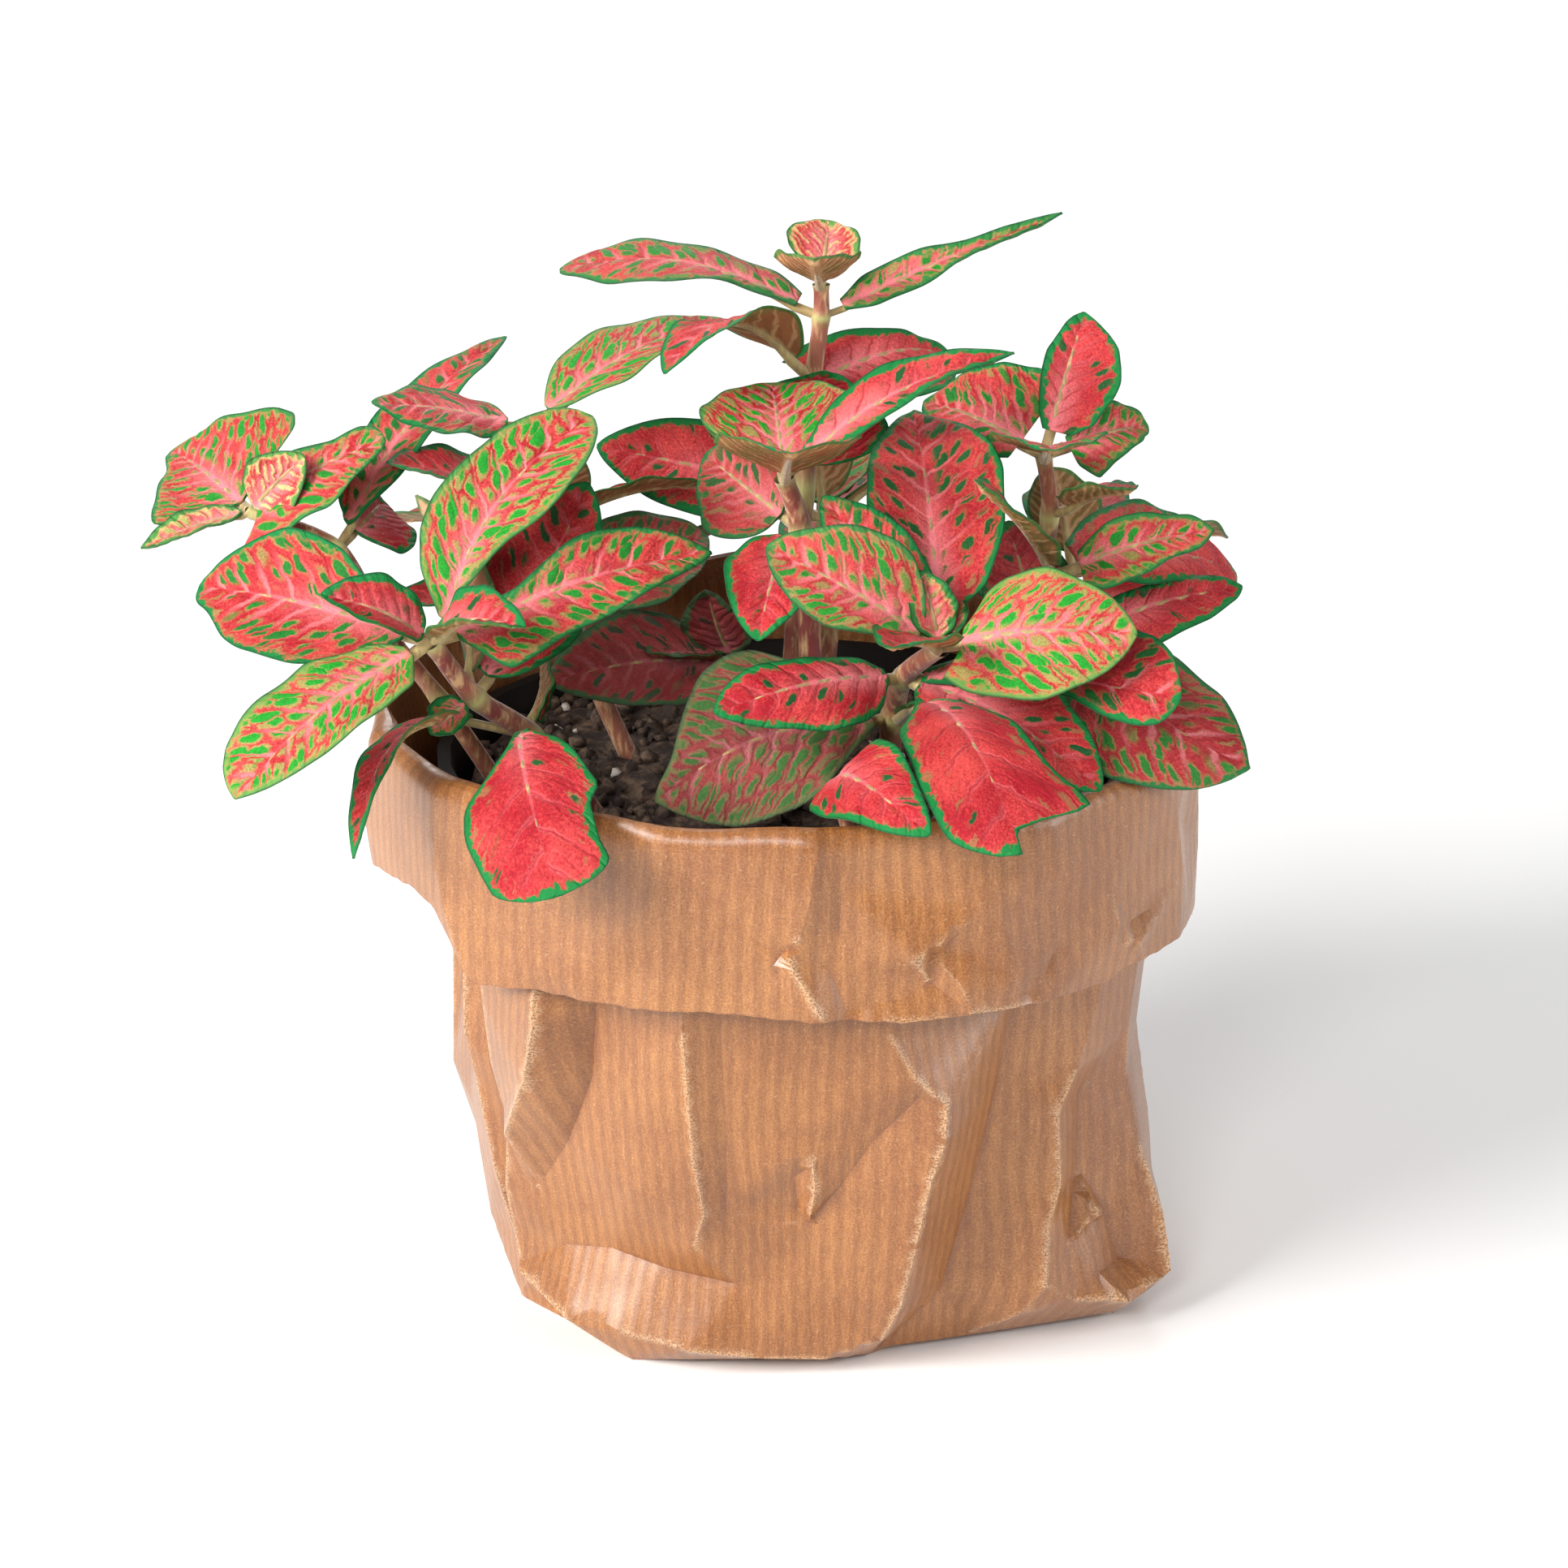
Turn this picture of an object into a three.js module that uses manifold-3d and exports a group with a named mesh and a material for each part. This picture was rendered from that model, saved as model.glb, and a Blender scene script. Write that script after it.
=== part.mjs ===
// A small pink-veined nerve plant in a nursery pot, standing in a turned-down bag of ribbed kraft paper.
// Millimetres, +Z up, the base of the bag on z = 0, the front towards -Y.
import * as THREE from "three";
import Module from "manifold-3d";

const wasm = await Module();
wasm.setup();
const { Manifold, Mesh: SolidMesh } = wasm;

// ---------------------------------------------------------------- driving dimensions
const RIM_HEIGHT = 73;
const PAPER_SHEET = 0.8;
const PAPER_COLUMNS = 48;
const CUFF_STAND_OFF = 1.2;
const CUFF_FLARE = 0.6;
const CUFF_EDGE_HEIGHT = 49.5;
const UNROLL_RADIUS = 45;

const POT_BASE_RADIUS = 29;
const POT_TOP_RADIUS = 41;
const POT_WALL = 0.9;
const POT_HEIGHT = 66;
const POT_LIP = 1.6;
const FIT_GAP = 0.3;

const SOIL_HEIGHT = 63;
const SOIL_LUMP = 0.9;
const SOIL_RINGS = [0, 7, 14, 21, 28, 34];
const STEM_DEPTH = 6;

const LEAF_SHEET = 0.7;
const STEM_SIDES = 6;

const COLOUR = {
  paper: "#c99a6c",
  pot: "#2b2522",
  soil: "#2a2321",
  leaf: "#d8505a",
};

// ---------------------------------------------------------------- closed solids from rings and grids
const vec = (p) => new THREE.Vector3(...p);
const radians = THREE.MathUtils.degToRad;

function solidFrom(points, triangles) {
  const vertProperties = new Float32Array(points.flatMap((p) => [p.x, p.y, p.z]));
  const made = new Manifold(
    new SolidMesh({ numProp: 3, vertProperties, triVerts: new Uint32Array(triangles.flat()) }),
  );
  return made;
}

// A tube of flat sides round a bent line, with a radius for each point of the line.
function tube(line, radii, sides) {
  const points = [];
  const triangles = [];
  let across = new THREE.Vector3(1, 0, 0);
  line.forEach((centre, i) => {
    const before = line[Math.max(i - 1, 0)];
    const after = line[Math.min(i + 1, line.length - 1)];
    const along = after.clone().sub(before).normalize();
    across = across.clone().addScaledVector(along, -across.dot(along)).normalize();
    const third = along.clone().cross(across);
    for (let k = 0; k < sides; k++) {
      const turn = (2 * Math.PI * k) / sides;
      points.push(
        centre
          .clone()
          .addScaledVector(across, radii[i] * Math.cos(turn))
          .addScaledVector(third, radii[i] * Math.sin(turn)),
      );
    }
  });
  for (let i = 0; i + 1 < line.length; i++)
    for (let k = 0; k < sides; k++) {
      const [a, b] = [i * sides + k, i * sides + ((k + 1) % sides)];
      triangles.push([a, b, b + sides], [a, b + sides, a + sides]);
    }
  const last = (line.length - 1) * sides;
  for (let k = 1; k + 1 < sides; k++) {
    triangles.push([0, k + 1, k]);
    triangles.push([last, last + k, last + k + 1]);
  }
  return solidFrom(points, triangles);
}

// ---------------------------------------------------------------- the paper bag
// How far the paper stands from the middle of the bag: a row for each height, a number every 30 degrees,
// counted from the right-hand side (+X) by the back (+Y), the left and the front.
const PAPER_ROWS = [
  { z: 0.4, out: [38, 37, 34, 33, 34, 34, 33, 36, 36, 33, 35, 41] },
  { z: 4, out: [44, 40, 37, 36, 37, 37, 35, 37, 38, 37, 39, 49] },
  { z: 9, out: [47, 42, 39, 37, 38, 38, 36, 38, 38, 37, 40, 50] },
  { z: 16, out: [47, 42, 40, 39, 40, 40, 38, 40, 40, 39, 42, 48] },
  { z: 24, out: [45, 42, 41, 40, 41, 41, 40, 42, 42, 41, 43, 46] },
  { z: 32, out: [45, 43, 42, 41, 42, 43, 43, 44, 44, 43, 44, 45] },
  { z: 40, out: [45, 43, 42, 42, 43, 44, 45, 45, 45, 44, 45, 45] },
  { z: 48, out: [45, 44, 43, 43, 44, 45, 46, 46, 46, 45, 46, 46] },
  { z: 56, out: [46, 45, 44, 44, 45, 46, 47, 47, 47, 46, 47, 47] },
  { z: 64, out: [47, 46, 45, 46, 46, 47, 47, 48, 48, 47, 48, 48] },
  { z: 71, out: [48, 47, 46, 47, 48, 48, 48, 48, 48, 47, 49, 49] },
];

// Folds pressed into the wall below the cuff: lines of [distance round from the front middle, height],
// how far each stands out (or in), and how wide its flank is to the left and to the right.
const FOLDS = [
  { line: [[-46, 46], [-45, 30], [-42, 6]], out: 2.2, left: 6, right: 9 },
  { line: [[-54, 50], [-52, 34], [-50, 14]], out: -2.4, left: 8, right: 6 },
  { line: [[44, 48], [40, 30], [42, 10]], out: 1.8, left: 8, right: 8 },
  { line: [[-30, 46], [-34, 36], [-36, 28]], out: 1.8, left: 8, right: 3 },
  { line: [[-24, 48], [-27, 36], [-29, 26]], out: -1.6, left: 4, right: 9 },
  { line: [[12, 49], [19, 40], [18, 32], [14, 14], [11, 4]], out: 2.6, left: 12, right: 4 },
  { line: [[24, 46], [25, 34], [22, 18]], out: -1.8, left: 5, right: 10 },
  { line: [[-12, 50], [-10, 36], [-9, 20]], out: 1.2, left: 4, right: 8 },
  { line: [[-40, 8], [-30, 14], [-14, 9], [10, 8]], out: 1.4, left: 5, right: 5 },
  { line: [[74, 46], [70, 28], [66, 8]], out: -2.6, left: 9, right: 9 },
  { line: [[92, 44], [96, 26], [92, 6]], out: 2.4, left: 9, right: 9 },
  { line: [[118, 46], [112, 28], [118, 12]], out: -2.2, left: 9, right: 10 },
  { line: [[-76, 46], [-70, 24], [-74, 6]], out: 2.2, left: 9, right: 8 },
  { line: [[-96, 46], [-92, 26], [-98, 8]], out: -2.4, left: 9, right: 9 },
  { line: [[-116, 44], [-120, 24], [-114, 6]], out: 2, left: 10, right: 9 },
];

// Height of the cuff's lower edge above its usual one, every 30 degrees as above.
const CUFF_EDGE_RISE = [-2, -2, 1, 1, 2, 4, 6, 7, 1, 0, 0, -1];
const CUFF_OUT = [-1, -0.5, 0, 0, 0, 0, -0.5, -0.5, 0, 0.5, 0.5, 0];
const RIM_RISE = [0, 1, 2, 3, 2, 1, 0, 0, 0, 0, 0, 0];

// Reads a list of numbers, spaced evenly round the bag, at one angle, with a rounded run between them.
function roundTheBag(list, angle) {
  const place = ((((angle / (2 * Math.PI)) % 1) + 1) % 1) * list.length;
  const first = Math.floor(place);
  const share = THREE.MathUtils.smoothstep(place - first, 0, 1) * 0.5 + (place - first) * 0.5;
  return list[first % list.length] * (1 - share) + list[(first + 1) % list.length] * share;
}

function foldDepth(angle, z) {
  let round = angle + Math.PI / 2;
  round = Math.atan2(Math.sin(round), Math.cos(round)) * UNROLL_RADIUS;
  let sum = 0;
  for (const fold of FOLDS) {
    const { line } = fold;
    for (let i = 0; i + 1 < line.length; i++) {
      const [[s0, z0], [s1, z1]] = [line[i], line[i + 1]];
      const low = Math.min(z0, z1);
      const high = Math.max(z0, z1);
      const steep = high - low > Math.abs(s1 - s0);
      const share = steep ? (z - z0) / (z1 - z0) : (round - s0) / (s1 - s0);
      if (share < 0 || share > 1) continue;
      const away = steep ? round - (s0 + (s1 - s0) * share) : z - (z0 + (z1 - z0) * share);
      sum += fold.out * Math.max(0, 1 - Math.abs(away) / (away < 0 ? fold.left : fold.right));
      break;
    }
  }
  return sum;
}

function paperOut(row, angle) {
  return roundTheBag(PAPER_ROWS[row].out, angle) + foldDepth(angle, PAPER_ROWS[row].z);
}

function paperBag() {
  const columns = [];
  for (let c = 0; c < PAPER_COLUMNS; c++) {
    const angle = (2 * Math.PI * c) / PAPER_COLUMNS;
    const place = (out, z) => new THREE.Vector3(out * Math.cos(angle), out * Math.sin(angle), z);
    const floor = PAPER_SHEET / 2;
    const column = [place(paperOut(0, angle) * 0.55, floor), place(paperOut(0, angle) - 1.2, floor)];
    PAPER_ROWS.slice(1).forEach((row, i) => column.push(place(paperOut(i + 1, angle), row.z)));
    const top = roundTheBag(PAPER_ROWS.at(-1).out, angle);
    const rim = RIM_HEIGHT + roundTheBag(RIM_RISE, angle);
    const cuff = top + 2 * CUFF_STAND_OFF;
    column.push(place(top + 0.35 * CUFF_STAND_OFF, rim - 0.4));
    column.push(place(top + CUFF_STAND_OFF, rim));
    column.push(place(cuff - 0.35 * CUFF_STAND_OFF, rim - 0.4));
    const edge = CUFF_EDGE_HEIGHT + roundTheBag(CUFF_EDGE_RISE, angle);
    const flare = CUFF_FLARE + roundTheBag(CUFF_OUT, angle);
    for (const share of [0.1, 0.4, 0.7, 1])
      column.push(place(cuff + flare * share, rim - (rim - edge) * share));
    columns.push(column);
  }
  const rows = columns[0].length;
  const at = (c, r) => columns[(c + PAPER_COLUMNS) % PAPER_COLUMNS][r];
  const points = [];
  for (const side of [1, -1]) {
    points.push(new THREE.Vector3(0, 0, PAPER_SHEET / 2 - (side * PAPER_SHEET) / 2));
    for (let c = 0; c < PAPER_COLUMNS; c++)
      for (let r = 0; r < rows; r++) {
        const round = at(c + 1, r).clone().sub(at(c - 1, r));
        const up = at(c, Math.min(r + 1, rows - 1)).clone().sub(at(c, Math.max(r - 1, 0)));
        const out = round.cross(up).normalize();
        if (r === 0) out.set(0, 0, -1);
        points.push(at(c, r).clone().addScaledVector(out, (side * PAPER_SHEET) / 2));
      }
  }
  const layer = 1 + PAPER_COLUMNS * rows;
  const index = (side, c, r) => side * layer + 1 + (c % PAPER_COLUMNS) * rows + r;
  const triangles = [];
  for (let c = 0; c < PAPER_COLUMNS; c++) {
    triangles.push([0, index(0, c + 1, 0), index(0, c, 0)]);
    triangles.push([layer, index(1, c, 0), index(1, c + 1, 0)]);
    for (let r = 0; r + 1 < rows; r++) {
      const [a, b, d, e] = [index(0, c, r), index(0, c + 1, r), index(0, c + 1, r + 1), index(0, c, r + 1)];
      triangles.push([a, b, d], [a, d, e]);
      const [f, g, h, i] = [a + layer, b + layer, d + layer, e + layer];
      triangles.push([f, h, g], [f, i, h]);
    }
    const [j, k] = [index(0, c, rows - 1), index(0, c + 1, rows - 1)];
    triangles.push([j, k, k + layer], [j, k + layer, j + layer]);
  }
  return solidFrom(points, triangles);
}

// ---------------------------------------------------------------- the pot hidden in the bag
const POT_FLOOR = PAPER_SHEET + FIT_GAP;

function potSolid() {
  const profile = [
    [0, POT_FLOOR],
    [POT_BASE_RADIUS, POT_FLOOR],
    [POT_TOP_RADIUS, POT_HEIGHT - 5],
    [POT_TOP_RADIUS + POT_LIP, POT_HEIGHT - 5],
    [POT_TOP_RADIUS + POT_LIP, POT_HEIGHT],
    [POT_TOP_RADIUS, POT_HEIGHT],
    [POT_TOP_RADIUS - POT_WALL, POT_HEIGHT - 5],
    [POT_BASE_RADIUS - POT_WALL, POT_FLOOR + POT_WALL],
    [0, POT_FLOOR + POT_WALL],
  ];
  return lathe(profile, 36);
}

// A turned solid from a closed outline that starts and ends on the axis.
function lathe(profile, sides) {
  const points = [];
  const starts = profile.map(([out, z]) => {
    const start = points.length;
    const count = out > 0 ? sides : 1;
    for (let k = 0; k < count; k++) {
      const turn = (2 * Math.PI * k) / sides;
      points.push(new THREE.Vector3(out * Math.cos(turn), out * Math.sin(turn), z));
    }
    return { start, count };
  });
  const triangles = [];
  for (let i = 0; i + 1 < profile.length; i++)
    for (let k = 0; k < sides; k++) {
      const next = (k + 1) % sides;
      const [low, high] = [starts[i], starts[i + 1]];
      const pick = (ring, n) => ring.start + (ring.count > 1 ? n : 0);
      const [a, b, c, d] = [pick(low, k), pick(low, next), pick(high, next), pick(high, k)];
      if (a !== b) triangles.push([a, b, c]);
      if (c !== d) triangles.push([a, c, d]);
    }
  return solidFrom(points, triangles);
}

// ---------------------------------------------------------------- the soil
// Soft lumps from a few crossing waves, each [waves round the pot, millimetres across, share of the lump].
const LUMPS = [[3, 17, 0.5], [5, 11, 0.35], [8, 7, 0.3]];

function soilRise(out, turn) {
  return LUMPS.reduce((sum, [waves, across, share]) => sum + share * Math.cos(waves * turn + out / across), 0);
}

function soilSolid() {
  const sides = 24;
  const inner = POT_TOP_RADIUS - POT_WALL - FIT_GAP;
  const slope = (POT_TOP_RADIUS - POT_BASE_RADIUS) / (POT_HEIGHT - 5 - POT_FLOOR);
  const foot = POT_FLOOR + POT_WALL + FIT_GAP;
  const edge = inner - slope * (POT_HEIGHT - 5 - SOIL_HEIGHT + 1) - FIT_GAP;
  const rings = [...SOIL_RINGS.slice(1), edge];
  const points = [new THREE.Vector3(0, 0, foot), new THREE.Vector3(0, 0, SOIL_HEIGHT)];
  const baseOut = POT_BASE_RADIUS - POT_WALL - 2 * FIT_GAP;
  for (let k = 0; k < sides; k++) {
    const turn = (2 * Math.PI * k) / sides;
    points.push(new THREE.Vector3(baseOut * Math.cos(turn), baseOut * Math.sin(turn), foot));
    for (const out of rings) {
      const lump = out === edge ? -1 : SOIL_LUMP * soilRise(out, turn);
      points.push(new THREE.Vector3(out * Math.cos(turn), out * Math.sin(turn), SOIL_HEIGHT + lump));
    }
  }
  const step = rings.length + 1;
  const triangles = [];
  for (let k = 0; k < sides; k++) {
    const [here, next] = [2 + k * step, 2 + ((k + 1) % sides) * step];
    triangles.push([0, next, here]);
    triangles.push([here, next, next + step - 1], [here, next + step - 1, here + step - 1]);
    triangles.push([1, here + 1, next + 1]);
    for (let r = 1; r < rings.length; r++)
      triangles.push([here + r, here + r + 1, next + r + 1], [here + r, next + r + 1, next + r]);
  }
  return solidFrom(points, triangles);
}

// ---------------------------------------------------------------- leaves
// How wide a leaf is along its blade, as a share of its half width: an oval with a short point.
const BLADE_ROWS = [0, 0.1, 0.27, 0.46, 0.66, 0.86, 1];
const BLADE_COLUMNS = [-1, 0, 1];
const STALK_HALF = 0.8;
const POINT_HALF = 0.4;

function bladeShare(along, full) {
  return Math.sin(Math.PI * along ** full) ** 0.72 * (1 - 0.1 * along ** 3);
}

// One leaf from its joint on the stem to its tip: `face` is the way its upper side looks, `arch` how far
// the middle rises above the straight line, `cup` how far its two halves fold up, `twist` the turn of the
// blade along its length, `wave` the height of its waved edge, and `full` puts its widest place: 0.85 for a
// leaf widest below its middle, 1.4 for one widest towards its tip.
function leafSolid(joint, leaf) {
  const { tip, wide, face = [0, -1, 0.6], arch = 2, cup = 10, twist = 0, stalk = 3, wave = 0.5, full = 0.85 } = leaf;
  const start = vec(joint);
  const along = vec(tip).sub(start);
  const length = along.length();
  along.normalize();
  const flat = vec(face);
  flat.addScaledVector(along, -flat.dot(along)).normalize();
  const stalkShare = stalk / length;
  const shares = [0, ...BLADE_ROWS.map((b) => stalkShare + (1 - stalkShare) * b)];
  const upper = [];
  const lower = [];
  shares.forEach((share, i) => {
    const blade = i === 0 ? 0 : BLADE_ROWS[i - 1];
    const half = Math.max((wide / 2) * (i === 0 ? 0 : bladeShare(blade, full)), i < 2 ? STALK_HALF : POINT_HALF);
    const middle = start
      .clone()
      .addScaledVector(along, length * share)
      .addScaledVector(flat, arch * 4 * share * (1 - share));
    const run = along.clone().multiplyScalar(length).addScaledVector(flat, arch * 4 * (1 - 2 * share)).normalize();
    const up = flat.clone().addScaledVector(run, -flat.dot(run)).normalize();
    const side = run.clone().cross(up);
    const turn = radians(twist) * (share - 0.5);
    const across = side.clone().multiplyScalar(Math.cos(turn)).addScaledVector(up, Math.sin(turn));
    const out = up.clone().multiplyScalar(Math.cos(turn)).addScaledVector(side, -Math.sin(turn));
    BLADE_COLUMNS.forEach((column) => {
      const reach = Math.abs(column);
      const fold = radians(cup) * (half > STALK_HALF ? 1 : 0);
      const ripple = half > STALK_HALF ? wave * reach ** 2 * Math.sin(blade * 9 + column * 2) : 0;
      const point = middle
        .clone()
        .addScaledVector(across, half * column * Math.cos(fold * reach))
        .addScaledVector(out, half * reach * Math.sin(fold) * (0.5 + 0.5 * reach) + ripple);
      const tilt = Math.sign(column) * fold * (0.5 + reach * 0.5);
      const normal = out.clone().multiplyScalar(Math.cos(tilt)).addScaledVector(across, -Math.sin(tilt));
      upper.push(point.clone().addScaledVector(normal, LEAF_SHEET / 2));
      lower.push(point.clone().addScaledVector(normal, -LEAF_SHEET / 2));
    });
  });
  const rows = shares.length;
  const columns = BLADE_COLUMNS.length;
  const under = rows * columns;
  const id = (r, c) => r * columns + c;
  const triangles = [];
  for (let r = 0; r + 1 < rows; r++) {
    for (let c = 0; c + 1 < columns; c++) {
      const [a, b, d, e] = [id(r, c), id(r, c + 1), id(r + 1, c + 1), id(r + 1, c)];
      triangles.push([a, b, d], [a, d, e]);
      triangles.push([a + under, d + under, b + under], [a + under, e + under, d + under]);
    }
    const [j, k, m, n] = [id(r, 0), id(r + 1, 0), id(r, columns - 1), id(r + 1, columns - 1)];
    triangles.push([j, k, k + under], [j, k + under, j + under]);
    triangles.push([n, m, m + under], [n, m + under, n + under]);
  }
  for (let c = 0; c + 1 < columns; c++) {
    const [p, q] = [id(0, c), id(rows - 1, c)];
    triangles.push([p + 1, p, p + under], [p + 1, p + under, p + 1 + under]);
    triangles.push([q, q + 1, q + 1 + under], [q, q + 1 + under, q + under]);
  }
  const made = solidFrom([...upper, ...lower], triangles);
  if (made.volume() < 0) throw new Error("a leaf faces inwards");
  return leaf.tear ? Manifold.difference(made, tearSolid(leaf.tear)) : made;
}

// A torn nick at a leaf's edge: a three-sided wedge between two points, [tip of the nick, mouth of the nick].
function tearSolid([inside, mouth]) {
  return tube([vec(inside), vec(mouth)], [0.3, 2.4], 4);
}

// ---------------------------------------------------------------- leafy stems
// Each shoot is one stem with its leaves: `joints` runs from the foot in the soil to the growing tip,
// and each leaf names the joint it grows from (`at`) and where its tip is.
const SHOOTS = [
  {
    name: "shoot_front_left",
    thick: 3,
    joints: [[-20, -14, 58], [-30, -19, 74], [-36, -24, 80.5], [-40.5, -28, 88.5]],
    leaves: [
      { at: 3, tip: [-68.5, -16, 91.5], wide: 19, face: [-0.2, -0.9, 0.8], arch: 3, cup: 12 },
      { at: 3, tip: [-62, -42, 74.5], wide: 13.5, face: [-0.5, -0.8, 0.7], arch: 3, cup: 8 },
      { at: 3, tip: [-22.5, -10, 110.5], wide: 18, face: [-0.45, -1, 0.2], arch: 2, cup: 10 },
      { at: 3, tip: [-8.5, -14, 95], wide: 16, face: [0, -1, 0.75], arch: 2, cup: 8 },
      { at: 3, tip: [-52.5, -32, 95.5], wide: 8, face: [0.2, -0.7, 0.9], cup: 25, stalk: 1.5 },
      { at: 3, tip: [-29, -38, 93.5], wide: 8, face: [0, -0.5, 1], arch: 2.5, cup: 30, stalk: 1.5 },
      { at: 2, tip: [-23, -12, 103], wide: 15, face: [-0.3, -1, 0.3], arch: -2, cup: 8 },
      { at: 2, tip: [-44, -14, 103], wide: 12, face: [0.3, 1, 0.3], cup: 8 },
      { at: 1, tip: [-51, -40, 66], wide: 9, face: [-0.7, -0.3, 0.6], arch: 9, cup: 6, stalk: 6 },
      { at: 1, tip: [-25, -57, 68.5], wide: 18, face: [-0.1, -1, 0.6], arch: 8, cup: -8, stalk: 2, full: 1.4 },
      { at: 2, tip: [-41, -27, 77], wide: 7, face: [-0.2, -0.9, 0.5], arch: 1, stalk: 1.5 },
      { at: 1, tip: [-28.5, -12, 82.5], wide: 8, face: [1, 0.3, 0.3], arch: 1, stalk: 2 },
    ],
  },
  {
    name: "shoot_far_left",
    thick: 2.2,
    joints: [[-31, -8, 58], [-41, -12, 76], [-48, -8, 84], [-53.5, -4, 92.5], [-64, -2, 96.5]],
    leaves: [
      { at: 4, tip: [-76, 18, 98.5], wide: 19, face: [-0.46, -0.3, 0.86], cup: 6, stalk: 2 },
      { at: 4, tip: [-47.5, -2, 105.5], wide: 15, face: [0.1, -0.55, 0.85], arch: 1.5, cup: 6, stalk: 1.5 },
      { at: 4, tip: [-58.5, 2, 104], wide: 6, face: [-0.5, -0.9, 0.3], arch: 1, cup: 20, stalk: 1 },
      { at: 4, tip: [-74, -12, 96], wide: 6, face: [0, -0.2, 1], arch: 1, cup: 25, stalk: 1 },
      { at: 3, tip: [-49, 8, 95], wide: 13, face: [0.2, -1, 0.3], cup: 8 },
      { at: 3, tip: [-34.5, 22, 112], wide: 13, face: [-0.7, 0, 0.7], arch: 4, cup: 5 },
    ],
  },
  {
    name: "shoot_mid_left",
    thick: 2.4,
    joints: [[-17, 4, 58], [-26.5, 4, 81.5], [-29, 4, 93.5], [-30.5, 3, 105.5]],
    leaves: [
      { at: 3, tip: [-7.5, 17, 115.5], wide: 13, face: [-0.3, 0, 1], arch: 2.5, cup: 6 },
      { at: 3, tip: [-49, -2, 110], wide: 12, face: [0.2, -0.2, 1], arch: 1, cup: -6 },
      { at: 2, tip: [-47.5, -2, 102.5], wide: 12, face: [0.1, -0.1, 1], cup: 10 },
      { at: 2, tip: [-7.5, 4, 98], wide: 12, face: [0, 0.3, 1], cup: 5 },
      { at: 1, tip: [-9.5, 13, 89], wide: 14, face: [-0.2, -0.8, 0.7], arch: 3, cup: 8 },
    ],
  },
  {
    name: "shoot_top",
    thick: 2.6,
    joints: [[0, 6, 58], [2.5, 14, 95], [3.5, 12, 109], [4.5, 12, 117], [4.5, 12, 121]],
    leaves: [
      { at: 3, tip: [-27.5, 20, 121], wide: 14, face: [-0.1, 0, 1], arch: 4.5, cup: 5 },
      { at: 3, tip: [34, 20, 128], wide: 14, face: [-0.5, 0.6, 0.6], arch: 1, cup: 8, twist: -30 },
      { at: 4, tip: [5.5, 18, 127.5], wide: 9, face: [0, -1, 0.3], arch: 1, stalk: 1 },
      { at: 4, tip: [3.5, 2, 126.5], wide: 11, face: [0, 0.2, 1], arch: 0, cup: 20, stalk: 2 },
      { at: 2, tip: [-14, -6, 114.5], wide: 13, face: [-0.5, -0.2, 0.9], arch: 7, cup: 5 },
      { at: 2, tip: [21, 24, 109], wide: 16, face: [0, -0.9, 0.8], arch: 4, cup: 5 },
      { at: 1, tip: [5, 9, 111], wide: 18, face: [0.1, -1, 0.3], arch: -1, cup: 5 },
      { at: 1, tip: [-23, 13, 100.5], wide: 12, face: [0, -1, 0.25], arch: 2, cup: 5 },
    ],
  },
  {
    name: "shoot_centre",
    thick: 3,
    joints: [[4, -8, 58], [2, -8, 96], [0, -10, 103]],
    leaves: [
      { at: 2, tip: [-1.5, 5, 110.5], wide: 18.5, face: [0, -0.7, 0.8], cup: 8, stalk: 1.5 },
      { at: 2, tip: [1, -30, 111.5], wide: 18, face: [0, 0.3, 1], arch: 1, cup: 15, stalk: 2 },
            { at: 1, tip: [-9.5, 2, 102.5], wide: 14, face: [-0.3, -1, 0.4], arch: 1, cup: 5 },
      { at: 1, tip: [-3, -26, 88], wide: 12, face: [-0.3, -1, 0.4], arch: 3, cup: 5 },
    ],
  },
  {
    name: "shoot_front_right",
    thick: 3,
    joints: [[12, -12, 58], [13, -16, 75.5], [14, -20, 81.5], [18, -28, 88]],
    leaves: [
      { at: 3, tip: [15.5, -2, 109], wide: 16.5, face: [0.1, -1, 0.2], arch: 3, cup: 8 },
      { at: 3, tip: [-2, -28, 100], wide: 15, face: [-0.1, -0.9, 0.7], cup: 8 },
      { at: 3, tip: [40, -34, 91.5], wide: 15.5, face: [0.1, -0.9, 0.75], arch: 3, cup: -5 },
      { at: 3, tip: [15.5, -26, 96], wide: 6, face: [0.2, -1, 0.3], arch: 1, cup: 15, stalk: 1 },
      { at: 3, tip: [20, -24, 92.5], wide: 4.5, face: [-0.2, -1, 0.3], arch: 1, cup: 15, stalk: 1 },
      { at: 3, tip: [11.5, -44, 93], wide: 10, face: [-0.2, -0.5, 1], arch: 1, stalk: 1 },
      { at: 2, tip: [-8, -34, 82], wide: 13, face: [-0.2, -0.9, 0.8], arch: 3, cup: -6 },
      { at: 2, tip: [36, -38, 74], wide: 12, face: [0.3, -0.6, 0.8], arch: 3, cup: 5 },
      { at: 2, tip: [45, -36, 81], wide: 13, face: [0.2, -0.9, 0.7], arch: 3, cup: -5 },
      { at: 1, tip: [26, -57, 73.5], wide: 19, face: [0.3, -1, 0.6], arch: 8, cup: -8, stalk: 1.5, full: 1.4 },
      { at: 1, tip: [-15, -28, 69], wide: 21, face: [-0.3, -0.9, 0.6], arch: 3, cup: 5 },
      { at: 3, tip: [4.5, -18, 103], wide: 10, face: [0.2, -0.9, 0.5], arch: 1, cup: 5 },
    ],
  },
  {
    name: "shoot_back_right",
    thick: 2.6,
    joints: [[22, 4, 58], [30, 4, 81.5], [32, 0, 95.5], [31, -2, 103.5]],
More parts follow.
